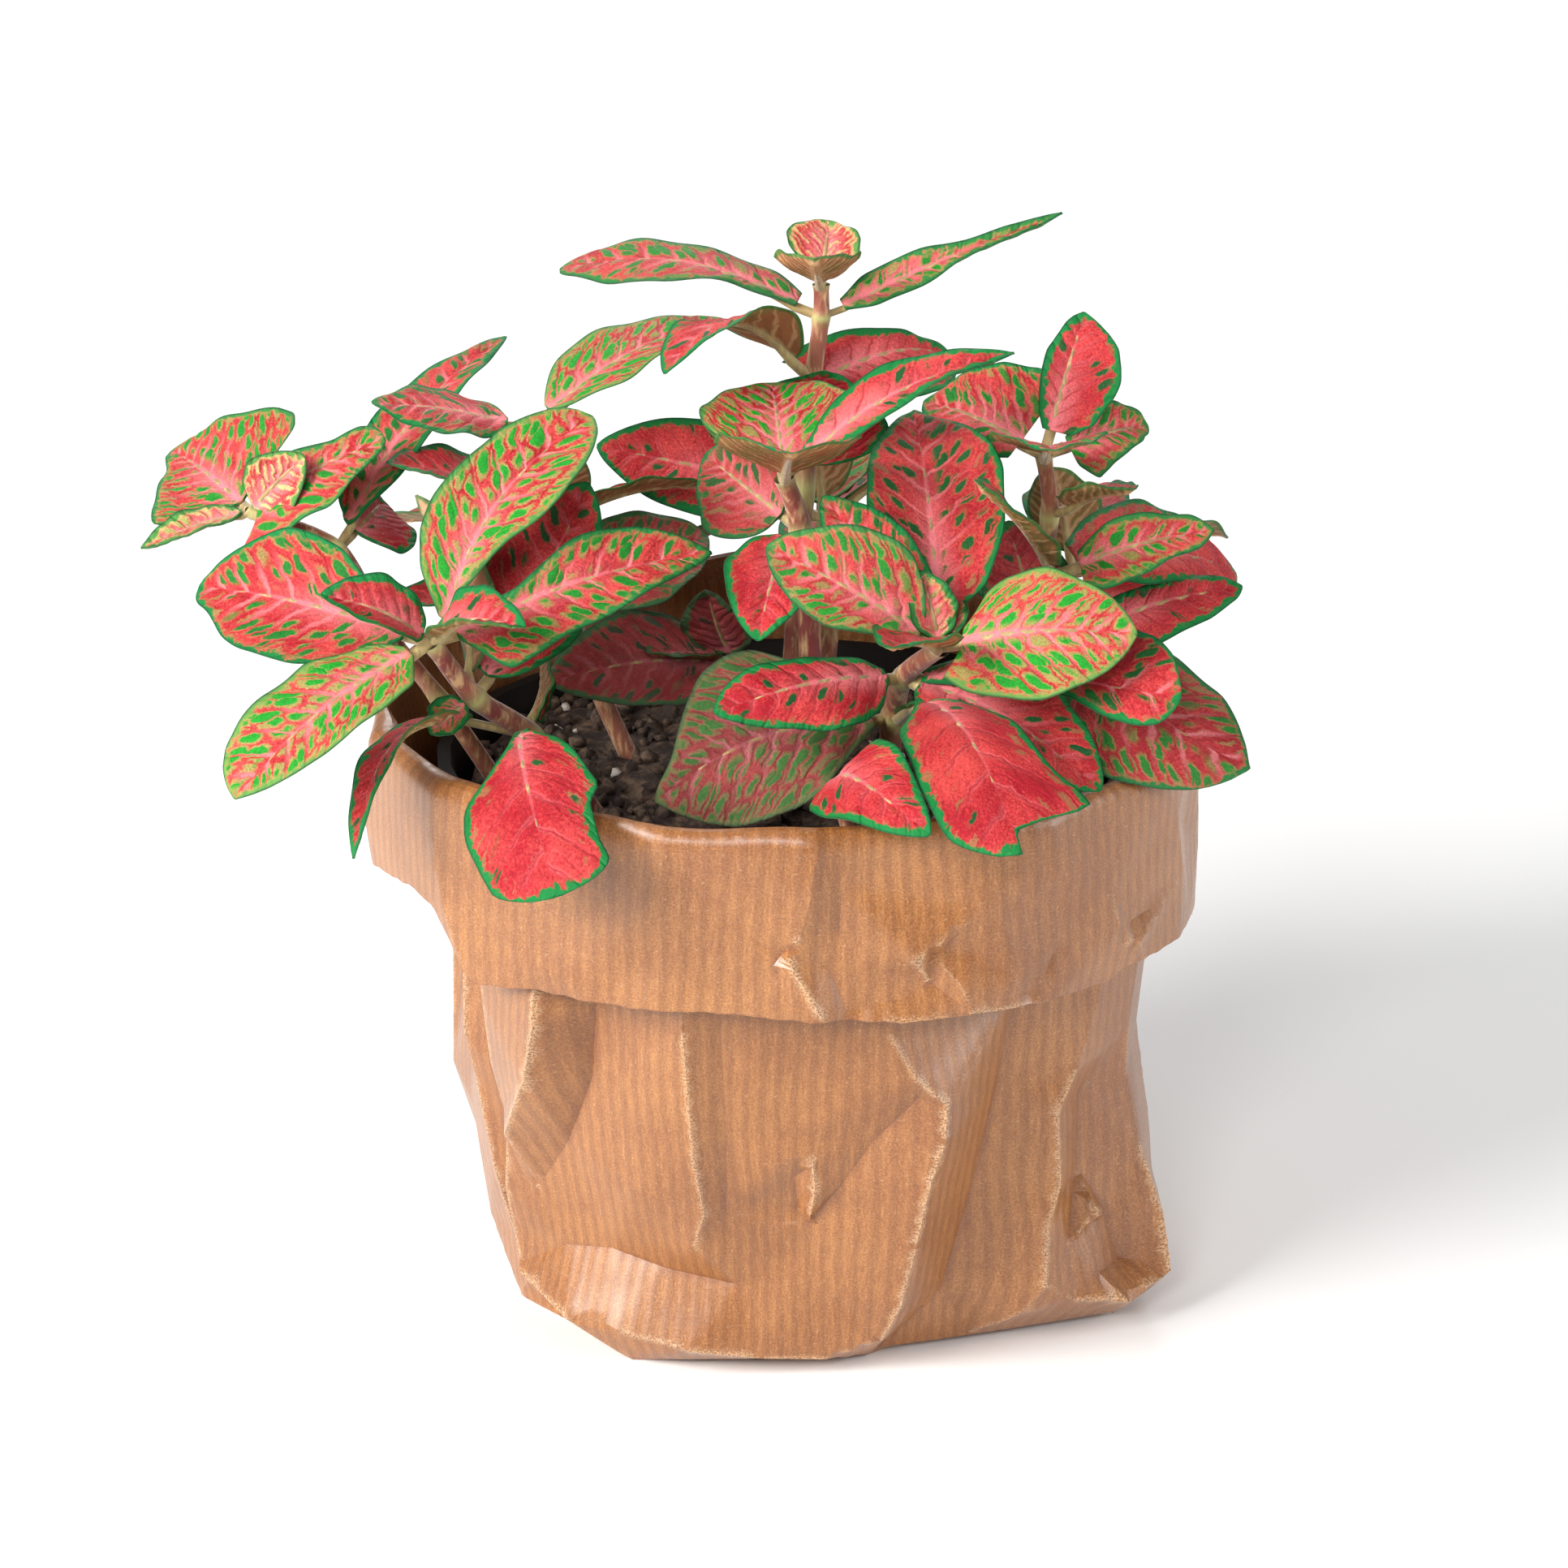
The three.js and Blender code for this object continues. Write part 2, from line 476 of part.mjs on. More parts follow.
    leaves: [
      { at: 3, tip: [36, 6, 119], wide: 12, face: [-0.1, -1, 0.3], arch: 1, cup: 5 },
      { at: 3, tip: [17, 8, 107.5], wide: 16, face: [0.1, -0.85, 0.7], cup: 5 },
      { at: 3, tip: [44, 6, 105], wide: 13, face: [0, -0.9, 0.6], cup: 5 },
      { at: 3, tip: [31, -20, 109], wide: 14, face: [0, 0.3, 1], arch: 1, stalk: 2 },
      { at: 2, tip: [41.5, -8, 101], wide: 10, face: [0, 0.2, 1], arch: 1 },
      { at: 2, tip: [27, -6, 117], wide: 12, face: [-0.4, -0.6, 0.7], cup: 5 },
    ],
  },
  {
    name: "shoot_right",
    thick: 2.6,
    joints: [[27, -6, 58], [31.5, -6, 80.5], [32.5, -8, 90.5]],
    leaves: [
      { at: 2, tip: [51, -8, 96], wide: 12, face: [-0.1, -0.8, 0.8], cup: 5 },
      { at: 2, tip: [21.5, -31, 108.5], wide: 8, face: [0.8, 0.5, 0.5], arch: 1 },
      { at: 2, tip: [53.5, 12, 91.5], wide: 18, face: [-0.1, -0.8, 0.8], arch: 4, cup: -5 },
      { at: 1, tip: [55.5, 0, 86.5], wide: 17, face: [0, -0.8, 0.8], arch: 3, cup: -5 },
      { at: 1, tip: [26.5, -6, 96.5], wide: 11, face: [0, -1, 0.3], arch: 1, cup: 5 },
      { at: 1, tip: [54.5, -26, 71.5], wide: 17, face: [0.1, -0.6, 0.8], arch: 5, cup: -5 },
    ],
  },
  {
    name: "shoot_inner",
    thick: 2.4,
    joints: [[-6, 6, 58], [-6, 6, 74.5]],
    leaves: [
      { at: 1, tip: [-28.5, -8, 77], wide: 14, face: [0, -0.8, 0.8], arch: 3, cup: 5 },
      { at: 1, tip: [-16.5, -3, 79], wide: 9, face: [0, -0.1, 1], arch: 1 },
      { at: 1, tip: [-9.5, 0, 86], wide: 9, face: [-0.4, -1, 0.5], arch: 1, cup: 5 },
    ],
  },
  {
    name: "shoot_low_front",
    thick: 2,
    joints: [[10, -30, 58], [6, -33, 72]],
    leaves: [
      { at: 1, tip: [16, -55, 75], wide: 10, face: [0, -1, 0.7], arch: 6, cup: -5, stalk: 1 },
    ],
  },
  {
    name: "shoot_back_left",
    thick: 2.4,
    joints: [[-16, 20, 58], [-27, 28, 72], [-33, 33, 80]],
    leaves: [
      { at: 2, tip: [-56, 40, 81], wide: 16, face: [-0.2, 0.3, 1], arch: 4, cup: 6 },
      { at: 2, tip: [-34, 60, 78], wide: 16, face: [0, 0.4, 1], arch: 4, cup: 6 },
      { at: 2, tip: [-26, 34, 93], wide: 11, face: [-0.3, 0.9, 0.3], cup: 10 },
      { at: 1, tip: [-8, 46, 80], wide: 15, face: [0, 0.5, 1], arch: 3, cup: 6 },
      { at: 1, tip: [-50, 19, 78], wide: 14, face: [0, 0, 1], arch: 3, cup: 6 },
    ],
  },
  {
    name: "shoot_back",
    thick: 2.6,
    joints: [[4, 22, 58], [6, 28, 74], [5, 30, 86]],
    leaves: [
      { at: 2, tip: [-19, 44, 88], wide: 15, face: [-0.1, 0.4, 1], arch: 4, cup: 8 },
      { at: 2, tip: [28, 42, 89], wide: 15, face: [0.1, 0.4, 1], arch: 4, cup: 8 },
      { at: 2, tip: [4, 56, 92], wide: 14, face: [0, 0.2, 1], arch: 2, cup: 8 },
      { at: 2, tip: [4, 27, 99], wide: 9, face: [0, 1, 0.2], arch: 1, cup: 12 },
      { at: 1, tip: [10, 62, 76], wide: 17, face: [0, 0.4, 1], arch: 5, cup: 6 },
    ],
  },
  {
    name: "shoot_back_far_right",
    thick: 2.4,
    joints: [[20, 18, 58], [30, 26, 72], [37, 30, 79]],
    leaves: [
      { at: 2, tip: [58, 42, 80], wide: 15, face: [0.2, 0.3, 1], arch: 4, cup: 6 },
      { at: 2, tip: [40, 58, 82], wide: 14, face: [0, 0.4, 1], arch: 4, cup: 6 },
      { at: 2, tip: [34, 30, 93], wide: 10, face: [0.2, 0.9, 0.3], cup: 10 },
      { at: 1, tip: [54, 17, 78], wide: 14, face: [0, 0, 1], arch: 3, cup: 6 },
      { at: 1, tip: [24, 52, 72.5], wide: 13, face: [0, 0.4, 1], arch: 5, cup: 6 },
    ],
  },
];

// The bent line of a shoot's stem, rounded through its joints, with a ring of swelling at each joint.
const STEM_STEPS = 3;
const JOINT_SWELL = 1.25;

function stemLine({ joints, thick }) {
  const curve = new THREE.CatmullRomCurve3(joints.map(vec), false, "centripetal");
  const steps = (joints.length - 1) * STEM_STEPS;
  const line = curve.getPoints(steps);
  const radii = line.map((_, i) => (thick / 2) * (1 - 0.3 * (i / steps)) * (i % STEM_STEPS || !i ? 1 : JOINT_SWELL));
  return { line, radii };
}

function shootSolid(shoot) {
  const { line, radii } = stemLine(shoot);
  const leaves = shoot.leaves.map((leaf) => leafSolid(shoot.joints[leaf.at], leaf));
  const fused = Manifold.union([tube(line, radii, STEM_SIDES), ...leaves]);
  // Leaf bases that close round a joint leave no hollow between them: the outermost skin is the shoot.
  return fused.decompose().reduce((best, body) => (body.volume() > best.volume() ? body : best));
}

// The hole a stem stands in: the lowest run of the stem, a little wider and a little deeper.
function stemHole(shoot) {
  const { line, radii } = stemLine(shoot);
  const [foot, next] = line;
  const down = foot.clone().sub(next).normalize();
  const run = [foot.clone().addScaledVector(down, FIT_GAP), ...line.slice(0, STEM_STEPS + 1)];
  return tube(run, [radii[0], ...radii].slice(0, run.length).map((r) => r + FIT_GAP), STEM_SIDES);
}

// ---------------------------------------------------------------- the whole object
function meshOf(solid, name, colour, roughness) {
  const { vertProperties, triVerts, numProp } = solid.getMesh();
  const positions = new Float32Array((vertProperties.length / numProp) * 3);
  for (let i = 0; i < positions.length / 3; i++)
    positions.set(vertProperties.subarray(i * numProp, i * numProp + 3), i * 3);
  const geometry = new THREE.BufferGeometry();
  geometry.setAttribute("position", new THREE.BufferAttribute(positions, 3));
  geometry.setIndex(new THREE.BufferAttribute(new Uint32Array(triVerts), 1));
  geometry.computeVertexNormals();
  const mesh = new THREE.Mesh(
    geometry,
    new THREE.MeshStandardMaterial({ color: colour, roughness, metalness: 0 }),
  );
  mesh.name = name;
  return mesh;
}

const plant = new THREE.Group();
plant.name = "potted_nerve_plant";
plant.add(meshOf(paperBag(), "paper_bag", COLOUR.paper, 0.6));
plant.add(meshOf(potSolid(), "nursery_pot", COLOUR.pot, 0.5));
const soil = SHOOTS.reduce((bed, shoot) => bed.subtract(stemHole(shoot)), soilSolid());
plant.add(meshOf(soil, "soil", COLOUR.soil, 0.95));
for (const shoot of SHOOTS) plant.add(meshOf(shootSolid(shoot), shoot.name, COLOUR.leaf, 0.5));

export default plant;
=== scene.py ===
# %% [markdown]
# # A potted nerve plant in a kraft paper bag
# The object is a small nerve plant, a creeping house plant whose leaves carry a net of coral-red veins on green.
# It grows in a thin nursery pot, and the pot stands in a bag of ribbed brown kraft paper with its top turned down.
# The solids that come with the frame give every piece its place. Each cell below swaps one of them for a finer
# piece made by rule, with colours that are computed and never painted, so nothing here needs a picture file.

# %% frame
import bpy
import math
from types import SimpleNamespace
from typing import NamedTuple

import numpy as np
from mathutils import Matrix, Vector
from mathutils.geometry import delaunay_2d_cdt


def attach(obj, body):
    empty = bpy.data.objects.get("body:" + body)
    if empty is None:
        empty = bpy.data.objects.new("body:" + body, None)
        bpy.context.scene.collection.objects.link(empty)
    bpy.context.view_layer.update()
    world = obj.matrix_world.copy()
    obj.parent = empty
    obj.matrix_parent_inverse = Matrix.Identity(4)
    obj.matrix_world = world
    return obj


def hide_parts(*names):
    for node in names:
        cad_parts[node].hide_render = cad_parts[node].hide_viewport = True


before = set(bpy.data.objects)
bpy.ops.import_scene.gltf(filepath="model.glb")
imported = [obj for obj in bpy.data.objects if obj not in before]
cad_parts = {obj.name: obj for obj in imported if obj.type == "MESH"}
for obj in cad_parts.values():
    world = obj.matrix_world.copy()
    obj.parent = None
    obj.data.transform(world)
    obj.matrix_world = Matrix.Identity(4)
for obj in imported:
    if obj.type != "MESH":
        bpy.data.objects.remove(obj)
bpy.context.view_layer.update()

# %% [markdown]
# ## Units and colours
# All sizes below are written in millimetres, because leaves and paper are easier to think of that way. `MM` turns
# them into the metres that the scene uses. Colours are written as 0-255 screen values, as one reads them off a
# colour card, and `ink` turns them into the linear values that a shader needs.

# %% units and colours
MM = 0.001


def ink(red, green, blue):
    def linear(value):
        value /= 255
        return value / 12.92 if value <= 0.04045 else ((value + 0.055) / 1.055) ** 2.4

    return (linear(red), linear(green), linear(blue), 1.0)


def unit(v):
    return v / np.maximum(np.linalg.norm(v, axis=-1, keepdims=True), 1e-9)


def smooth(low, high, x):
    """A soft step from 0 at `low` to 1 at `high`."""
    t = np.clip((x - low) / (high - low), 0, 1)
    return t * t * (3 - 2 * t)


print("mid grey in linear light:", round(ink(128, 128, 128)[0], 3))

# %% [markdown]
# ## From points to a piece
# Leaves, stems, soil and paper are all computed as arrays of points and faces. This helper turns such arrays into
# an object, lets it ride with the part, and hides the solid that it stands for. Each point may also carry plain
# numbers, such as how far along its leaf it is, and the materials read these to place their patterns.

# %% piece maker
def mesh_piece(name, body, finish, node):
    """One piece of the object from (points, faces, attributes), put in place of the solid `node`, which it hides."""
    points, faces, attributes = body
    mesh = bpy.data.meshes.new(name)
    mesh.vertices.add(len(points))
    mesh.vertices.foreach_set("co", (np.asarray(points, np.float64) * MM).ravel())
    mesh.loops.add(faces.size)
    mesh.loops.foreach_set("vertex_index", faces.astype(np.int32).ravel())
    mesh.polygons.add(len(faces))
    mesh.polygons.foreach_set("loop_start", np.arange(0, faces.size, faces.shape[1], dtype=np.int32))
    mesh.polygons.foreach_set("loop_total", np.full(len(faces), faces.shape[1], np.int32))
    mesh.polygons.foreach_set("use_smooth", np.ones(len(faces), bool))
    mesh.update(calc_edges=True)
    for key, values in attributes.items():
        mesh.attributes.new(key, "FLOAT", "POINT").data.foreach_set("value", np.asarray(values, np.float32))
    mesh.validate()
    mesh.materials.append(finish)
    piece = bpy.data.objects.new(name, mesh)
    bpy.context.scene.collection.objects.link(piece)
    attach(piece, "root")
    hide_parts(node)
    return piece


def joined(parts):
    """Several (points, faces, attributes) as one, each with the same attributes."""
    points, faces, attributes, count = [], [], {}, 0
    for p, f, a in parts:
        points.append(p)
        faces.append(f + count)
        count += len(p)
        for key, values in a.items():
            attributes.setdefault(key, []).append(values)
    return np.concatenate(points), np.concatenate(faces), {k: np.concatenate(v) for k, v in attributes.items()}


print("piece maker ready")

# %% [markdown]
# ## A short way to write shader nodes
# A material is a tree of nodes, and wiring it by hand takes several lines for each node. `Tree` wraps one tree so
# that each node is one call which returns its output. Sums then read like sums: `t.plus(a, b)`, `t.times(a, b)`.

# %% shader trees
class Tree:
    """Each call makes one node in the tree and returns its output. Inputs are sockets or plain values."""

    def __init__(self, tree):
        self.tree = tree

    def feed(self, socket, value):
        if isinstance(value, bpy.types.NodeSocket):
            self.tree.links.new(value, socket)
        elif value is not None:
            socket.default_value = value

    def node(self, kind, settings=None, **inputs):
        made = self.tree.nodes.new(kind)
        for key, value in (settings or {}).items():
            setattr(made, key, value)
        self.set(made, **inputs)
        return made

    def set(self, node, **inputs):
        """Feeds a node's inputs by name, with _ for each space in the name."""
        for key, value in inputs.items():
            self.feed(node.inputs[key.replace("_", " ")], value)

    def math(self, operation, a, b=None, c=None, clamp=False):
        made = self.node("ShaderNodeMath", {"operation": operation, "use_clamp": clamp})
        for socket, value in zip(made.inputs, (a, b, c)):
            self.feed(socket, value)
        return made.outputs[0]

    def plus(self, a, b):
        return self.math("ADD", a, b)

    def less(self, a, b):
        return self.math("SUBTRACT", a, b)

    def times(self, a, b):
        return self.math("MULTIPLY", a, b)

    def over(self, a, b):
        return self.math("DIVIDE", a, b)

    def ramp(self, value, low, high, out_low=0.0, out_high=1.0):
        """A soft step: out_low up to low, out_high from high on."""
        made = self.node("ShaderNodeMapRange", {"interpolation_type": "SMOOTHSTEP"})
        for socket, fed in zip(made.inputs, (value, low, high, out_low, out_high)):
            self.feed(socket, fed)
        return made.outputs[0]

    def mix(self, share, a, b, blend="MIX"):
        made = self.node("ShaderNodeMix", {"data_type": "RGBA", "blend_type": blend, "clamp_factor": True})
        for number, value in ((0, share), (6, a), (7, b)):
            self.feed(made.inputs[number], value)
        return made.outputs[2]

    def layers(self, colour, *steps):
        """Lays colours over the first one, each by its share."""
        for share, over in steps:
            colour = self.mix(share, colour, over)
        return colour

    def noise(self, vector, scale, detail=2.0, rough=0.5):
        made = self.node("ShaderNodeTexNoise", Vector=vector, Scale=scale, Detail=detail, Roughness=rough)
        return made.outputs["Fac"]

    def value(self, name):
        """The number that each point of the mesh carries under this name."""
        return self.node("ShaderNodeAttribute", {"attribute_name": name}).outputs["Fac"]

    def vector(self, x, y, z=0.0):
        return self.node("ShaderNodeCombineXYZ", X=x, Y=y, Z=z).outputs[0]

    def place(self):
        return self.node("ShaderNodeTexCoord").outputs["Object"]

    def bump(self, height, strength, depth):
        """A normal that leans with the height. `depth` is in metres."""
        return self.node("ShaderNodeBump", Strength=strength, Distance=depth, Height=height).outputs[0]


def material(name):
    made = bpy.data.materials.new(name)
    made.use_nodes = True
    made.node_tree.nodes.clear()
    t = Tree(made.node_tree)
    shader = t.node("ShaderNodeBsdfPrincipled")
    t.node("ShaderNodeOutputMaterial", Surface=shader.outputs[0])
    return made, t, shader


print("shader trees ready")

# %% [markdown]
# An effect that stands on its own, such as the net of veins or the ribs of the paper, is a node group: it is wired
# once under a name, with named inputs and outputs, and any material can place it with its own values.

# %% shader groups
def group(name, inputs, outputs, build):
    """A named shader effect. `inputs` are names with their usual values, and `build` wires its inside."""
    tree = bpy.data.node_groups.new(name, "ShaderNodeTree")
    for label, usual in inputs.items():
        tree.interface.new_socket(label, in_out="INPUT", socket_type="NodeSocketFloat").default_value = usual
    for label in outputs:
        tree.interface.new_socket(label, in_out="OUTPUT", socket_type="NodeSocketFloat")
    inside, outside = tree.nodes.new("NodeGroupInput"), tree.nodes.new("NodeGroupOutput")
    for label, socket in build(Tree(tree), inside.outputs).items():
        tree.links.new(socket, outside.inputs[label])
    return tree


def use(t, tree, **inputs):
    made = t.tree.nodes.new("ShaderNodeGroup")
    made.node_tree = tree
    t.set(made, **inputs)
    return made.outputs


print("shader groups ready")

# %% [markdown]
# ## The net of veins
# A nerve leaf is a flat sheet of green tissue crossed by a net of veins, and the colour lies along the veins. The
# side veins leave the midrib at about fifty degrees and bend towards the tip. Between them a finer net closes
# round small green islands.
#
# The effect works in the leaf's own millimetres: `along` from the base, `across` from the midrib. Bending those
# two numbers along the side veins first, and only then asking a cell pattern where its cell walls are, gives
# islands that lie along the veins as the real ones do. The blade's dents below follow the same side veins.

# %% leaf net
SIDE_VEINS = 8.0
VEIN_LEAN, VEIN_BEND = 0.72, 0.028
VEIN_START, VEIN_STAGGER = 0.32, 0.18


def leaf_net(t, given):
    along, across = given["Along"], given["Across"]
    away = t.math("ABSOLUTE", across)
    side = t.math("SIGN", across)
    place = t.vector(along, across, t.times(given["Seed"], 37.0))
    warp = t.times(t.less(t.noise(place, 0.4, 3.0), 0.5), 2.4)
    lean = t.math("MULTIPLY_ADD", t.times(away, away), VEIN_BEND, t.times(away, VEIN_LEAN))
    back = t.plus(t.less(along, lean), warp)
    step = t.over(given["Length"], SIDE_VEINS)
    offset = t.math("MULTIPLY_ADD", side, VEIN_STAGGER, VEIN_START)
    turn = t.math("FRACT", t.plus(t.over(back, step), offset))
    rib_gap = t.times(t.math("ABSOLUTE", t.less(turn, 0.5)), step)
    # Seed and side shift the cells, so that no two leaves or halves show the same islands.
    cell = t.vector(
        t.math("MULTIPLY_ADD", given["Seed"], 91.0, t.over(back, given["Cell"])),
        t.math("MULTIPLY_ADD", side, 31.0, t.over(t.times(away, VEIN_LEAN), given["Cell"])),
    )

    def cells(feature):
        settings = {"voronoi_dimensions": "2D", "feature": feature}
        return t.node("ShaderNodeTexVoronoi", settings, Vector=cell, Scale=1.0, Randomness=0.85).outputs

    walls, middles = cells("DISTANCE_TO_EDGE"), cells("F1")
    chance = t.node("ShaderNodeSeparateColor", Color=middles["Color"]).outputs
    return {
        "Wall gap": t.times(walls["Distance"], given["Cell"]),
        "Centre gap": middles["Distance"],
        "Rib gap": rib_gap,
        "Midrib gap": away,
        "Chance": chance[0],
        "Size": chance[1],
    }


LEAF_NET = group(
    "leaf_net",
    {"Along": 0.0, "Across": 0.0, "Length": 30.0, "Cell": 1.8, "Seed": 0.0},
    ("Wall gap", "Centre gap", "Rib gap", "Midrib gap", "Chance", "Size"),
    leaf_net,
)
print("leaf net:", len(LEAF_NET.nodes), "nodes")

# %% [markdown]
# ## The leaf's colours
# A young leaf shows wide green islands with a yellow rim, and an old one is nearly all coral red with a few islands
# left near its green edge. So `age` drives nearly every width and colour below. A blotchy noise makes each leaf a
# little older here and younger there.

# %% leaf values
CORAL, CORAL_DEEP, CORAL_PALE, RIB_PINK = ink(226, 80, 76), ink(170, 22, 38), ink(242, 138, 142), ink(242, 136, 144)
ISLAND, ISLAND_DARK, OLIVE, OLIVE_OLD = ink(26, 156, 40), ink(16, 84, 40), ink(156, 152, 84), ink(160, 106, 70)
EDGE_GREEN, EDGE_YOUNG, EDGE_DARK = ink(14, 122, 56), ink(104, 152, 72), ink(14, 72, 46)
UNDER_TAN, UNDER_GREEN = ink(166, 112, 74), ink(120, 122, 66)
UNDER_RED, UNDER_RIB = ink(186, 82, 72), ink(206, 166, 122)
# SHADED is the dull dark colour used for painted shade.
CREAM, SHADED = ink(222, 186, 128), ink(92, 70, 70)
LEAF_VALUES = ("along", "across", "half", "edge", "length", "age", "seed", "under", "shade", "cream")


def leaf_values(t):
    """What every part of the pattern reads: the leaf's own numbers, its net and a few noises."""
    k = SimpleNamespace(**{name: t.value(name) for name in LEAF_VALUES})
    cell = t.ramp(k.age, 0.0, 1.0, 1.7, 2.2)
    k.net = use(t, LEAF_NET, Along=k.along, Across=k.across, Length=k.length, Cell=cell, Seed=k.seed)
    place = t.vector(k.along, k.across, t.times(k.seed, 53.0))
    k.patch = t.noise(place, 0.16, 2.0)
    k.ragged = t.noise(place, 0.9, 3.0, 0.6)
    k.grain = t.noise(place, 3.0, 4.0, 0.75)
    k.pebble = t.noise(place, 4.2, 3.0, 0.7)
    k.speck = t.noise(place, 7.0, 3.0, 0.7)
    k.share = t.over(k.along, k.length)
    k.reach = t.over(k.net["Midrib gap"], t.math("MAXIMUM", k.half, 0.5))
    k.age_here = t.math("ADD", k.age, t.times(t.less(k.patch, 0.5), 0.4), clamp=True)
    k.loose = t.times(t.less(k.grain, 0.5), 0.9)
    return k


print("each leaf's colours read", len(LEAF_VALUES), "numbers from its points")

# %% [markdown]
# The pattern has three layers: `field` is the dull tissue between the veins, `core` the bright green islands in
# some of its meshes, and `halo` the olive rim of an island. What is left is vein, in several reds.

# %% leaf pattern
def leaf_islands(t, k):
    net, age = k.net, k.age_here
    # The veins are wide near the midrib and thin at the edge, and wider all over in an old leaf.
    wide = t.times(t.ramp(age, 0.0, 0.95, 0.13, 0.85), t.ramp(k.reach, 0.1, 1.0, 1.5, 0.5))
    gap = t.plus(net["Wall gap"], k.loose)
    open_rib = t.ramp(t.plus(net["Rib gap"], k.loose), 0.12, 0.5)
    open_mid = t.ramp(k.reach, 0.03, t.ramp(age, 0.0, 0.8, 0.12, 0.42))
    field = t.times(t.ramp(t.less(gap, wide), -0.08, 0.22), t.times(open_rib, open_mid))
    # An island sits in the middle of a mesh of the net, if that mesh is one of the green ones.
    cut = t.math("MULTIPLY_ADD", t.math("POWER", age, 5.0), 0.9, 0.1)
    chosen = t.ramp(t.less(net["Chance"], cut), -0.03, 0.03)
    size = t.times(t.ramp(net["Size"], 0.0, 1.0, 0.22, 0.44), t.ramp(age, 0.1, 0.9, 1.0, 0.68))
    gap = t.less(t.plus(net["Centre gap"], t.times(k.loose, 0.16)), size)
    room = t.times(chosen, t.times(t.ramp(net["Rib gap"], 0.05, 0.35), t.ramp(k.reach, 0.08, 0.2)))
    room = t.times(room, t.ramp(k.cream, 1.0, 0.0))
    core = t.times(t.ramp(gap, 0.05, -0.03), room)
    halo = t.times(t.ramp(gap, 0.22, 0.04), t.times(room, t.ramp(age, 0.2, 0.8, 0.85, 0.25)))
    return field, core, halo


def vein_red(t, k):
    """The red of the veins, paler by the midrib and near the base."""
    tone = t.ramp(t.plus(t.times(k.patch, 0.45), t.times(k.grain, 0.55)), 0.4, 0.66)
    red = t.mix(tone, CORAL_DEEP, CORAL)
    inward = t.ramp(t.plus(k.reach, t.times(k.grain, 0.8)), 1.2, 0.4, 0.0, 0.85)
    pale = t.times(t.ramp(k.net["Rib gap"], 0.7, 0.1), inward)
    pale = t.times(pale, t.ramp(k.age_here, 0.3, 1.0, 1.0, 0.35))
    glow = t.times(t.ramp(k.net["Midrib gap"], 3.2, 0.2), t.ramp(k.share, 0.75, 0.1, 0.0, 0.7))
    red = t.mix(t.math("MAXIMUM", pale, glow), red, CORAL_PALE)
    # On an old leaf the side veins are fine dark red lines.
    line = t.ramp(t.plus(k.net["Rib gap"], t.times(k.loose, 0.25)), 0.3, 0.04)
    line = t.times(line, t.ramp(k.reach, 1.0, 0.3))
    return t.mix(t.times(line, t.ramp(k.age_here, 0.7, 0.95, 0.0, 0.7)), red, CORAL_DEEP)


print("leaf pattern ready")

# %% [markdown]
# The upper side is finely pebbled, and painted light and shade shows this as a grain of lighter and darker points.
# Its green edge has a darker line outside and an olive one inside, and it is uneven, as if drawn by hand. The
# underside is dull tan and green.

# %% leaf sides
def upper_side(t, k):
    field, core, halo = leaf_islands(t, k)
    red, age = vein_red(t, k), k.age_here
    fleck = t.ramp(k.speck, 0.5, 0.66, 0.0, 0.7)
    olive = t.layers(OLIVE, (t.ramp(age, 0.1, 0.7), OLIVE_OLD), (fleck, red), (k.cream, CREAM))
    darker = t.ramp(k.grain, 0.4, 0.7, 0.0, 0.35)
    green = t.layers(ISLAND, (t.ramp(age, 0.15, 0.7), ISLAND_DARK), (darker, ISLAND_DARK))
    fleck = t.ramp(k.speck, 0.56, 0.72, 0.0, 0.35)
    top = t.layers(red, (field, olive), (halo, olive), (core, green), (fleck, t.mix(k.age, OLIVE, CORAL_DEEP)))
    # Painted light and shade: the pebbles' lighter and darker points, multiplied into the colour.
    top = t.mix(1.0, top, t.ramp(k.pebble, 0.34, 0.66, 0.74, 1.16), "MULTIPLY")
    # The midrib is a pale pink line that thins towards the tip.
    rib_half = t.ramp(k.share, 0.0, 1.0, 0.62, 0.10)
    rib = t.ramp(t.over(k.net["Midrib gap"], rib_half), 1.3, 0.3)
    width = t.plus(t.ramp(age, 0.0, 1.0, 0.32, 0.62), t.times(t.less(k.ragged, 0.5), 2.2))
    inside = t.less(k.edge, width)
    outline = t.ramp(k.edge, 0.32, 0.05, 0.0, 0.75)
    edge_colour = t.layers(EDGE_YOUNG, (t.ramp(k.age, 0.0, 0.45), EDGE_GREEN), (outline, EDGE_DARK))
    top = t.layers(
        top,
        (t.times(rib, t.ramp(k.share, 0.95, 0.3, 0.0, 0.7)), RIB_PINK),
        (t.times(t.ramp(inside, 0.75, 0.2), t.ramp(k.age, 0.9, 0.2, 0.15, 0.7)), olive),
        (t.ramp(inside, 0.30, 0.02), edge_colour),
    )
    # Painted shade: a leaf that lies in the others' shade is mixed towards SHADED by its shade value.
    return t.mix(k.shade, top, t.mix(0.62, top, SHADED))


def under_side(t, k):
    below = t.layers(
        UNDER_TAN,
        (t.ramp(k.patch, 0.35, 0.7), UNDER_GREEN),
        (t.ramp(k.grain, 0.48, 0.66, 0.0, 0.5), UNDER_RED),
        (t.ramp(k.speck, 0.5, 0.7, 0.0, 0.5), UNDER_GREEN),
        (t.times(t.ramp(k.net["Rib gap"], 0.4, 0.1), 0.7), UNDER_RIB),
        (t.ramp(k.net["Midrib gap"], 0.8, 0.3), UNDER_RIB),
        (t.ramp(k.edge, 0.7, 0.3, 0.0, 0.8), EDGE_GREEN),
    )
    # Painted shade on the underside too, by the same shade value.
    return t.mix(k.shade, below, t.mix(0.55, below, SHADED))


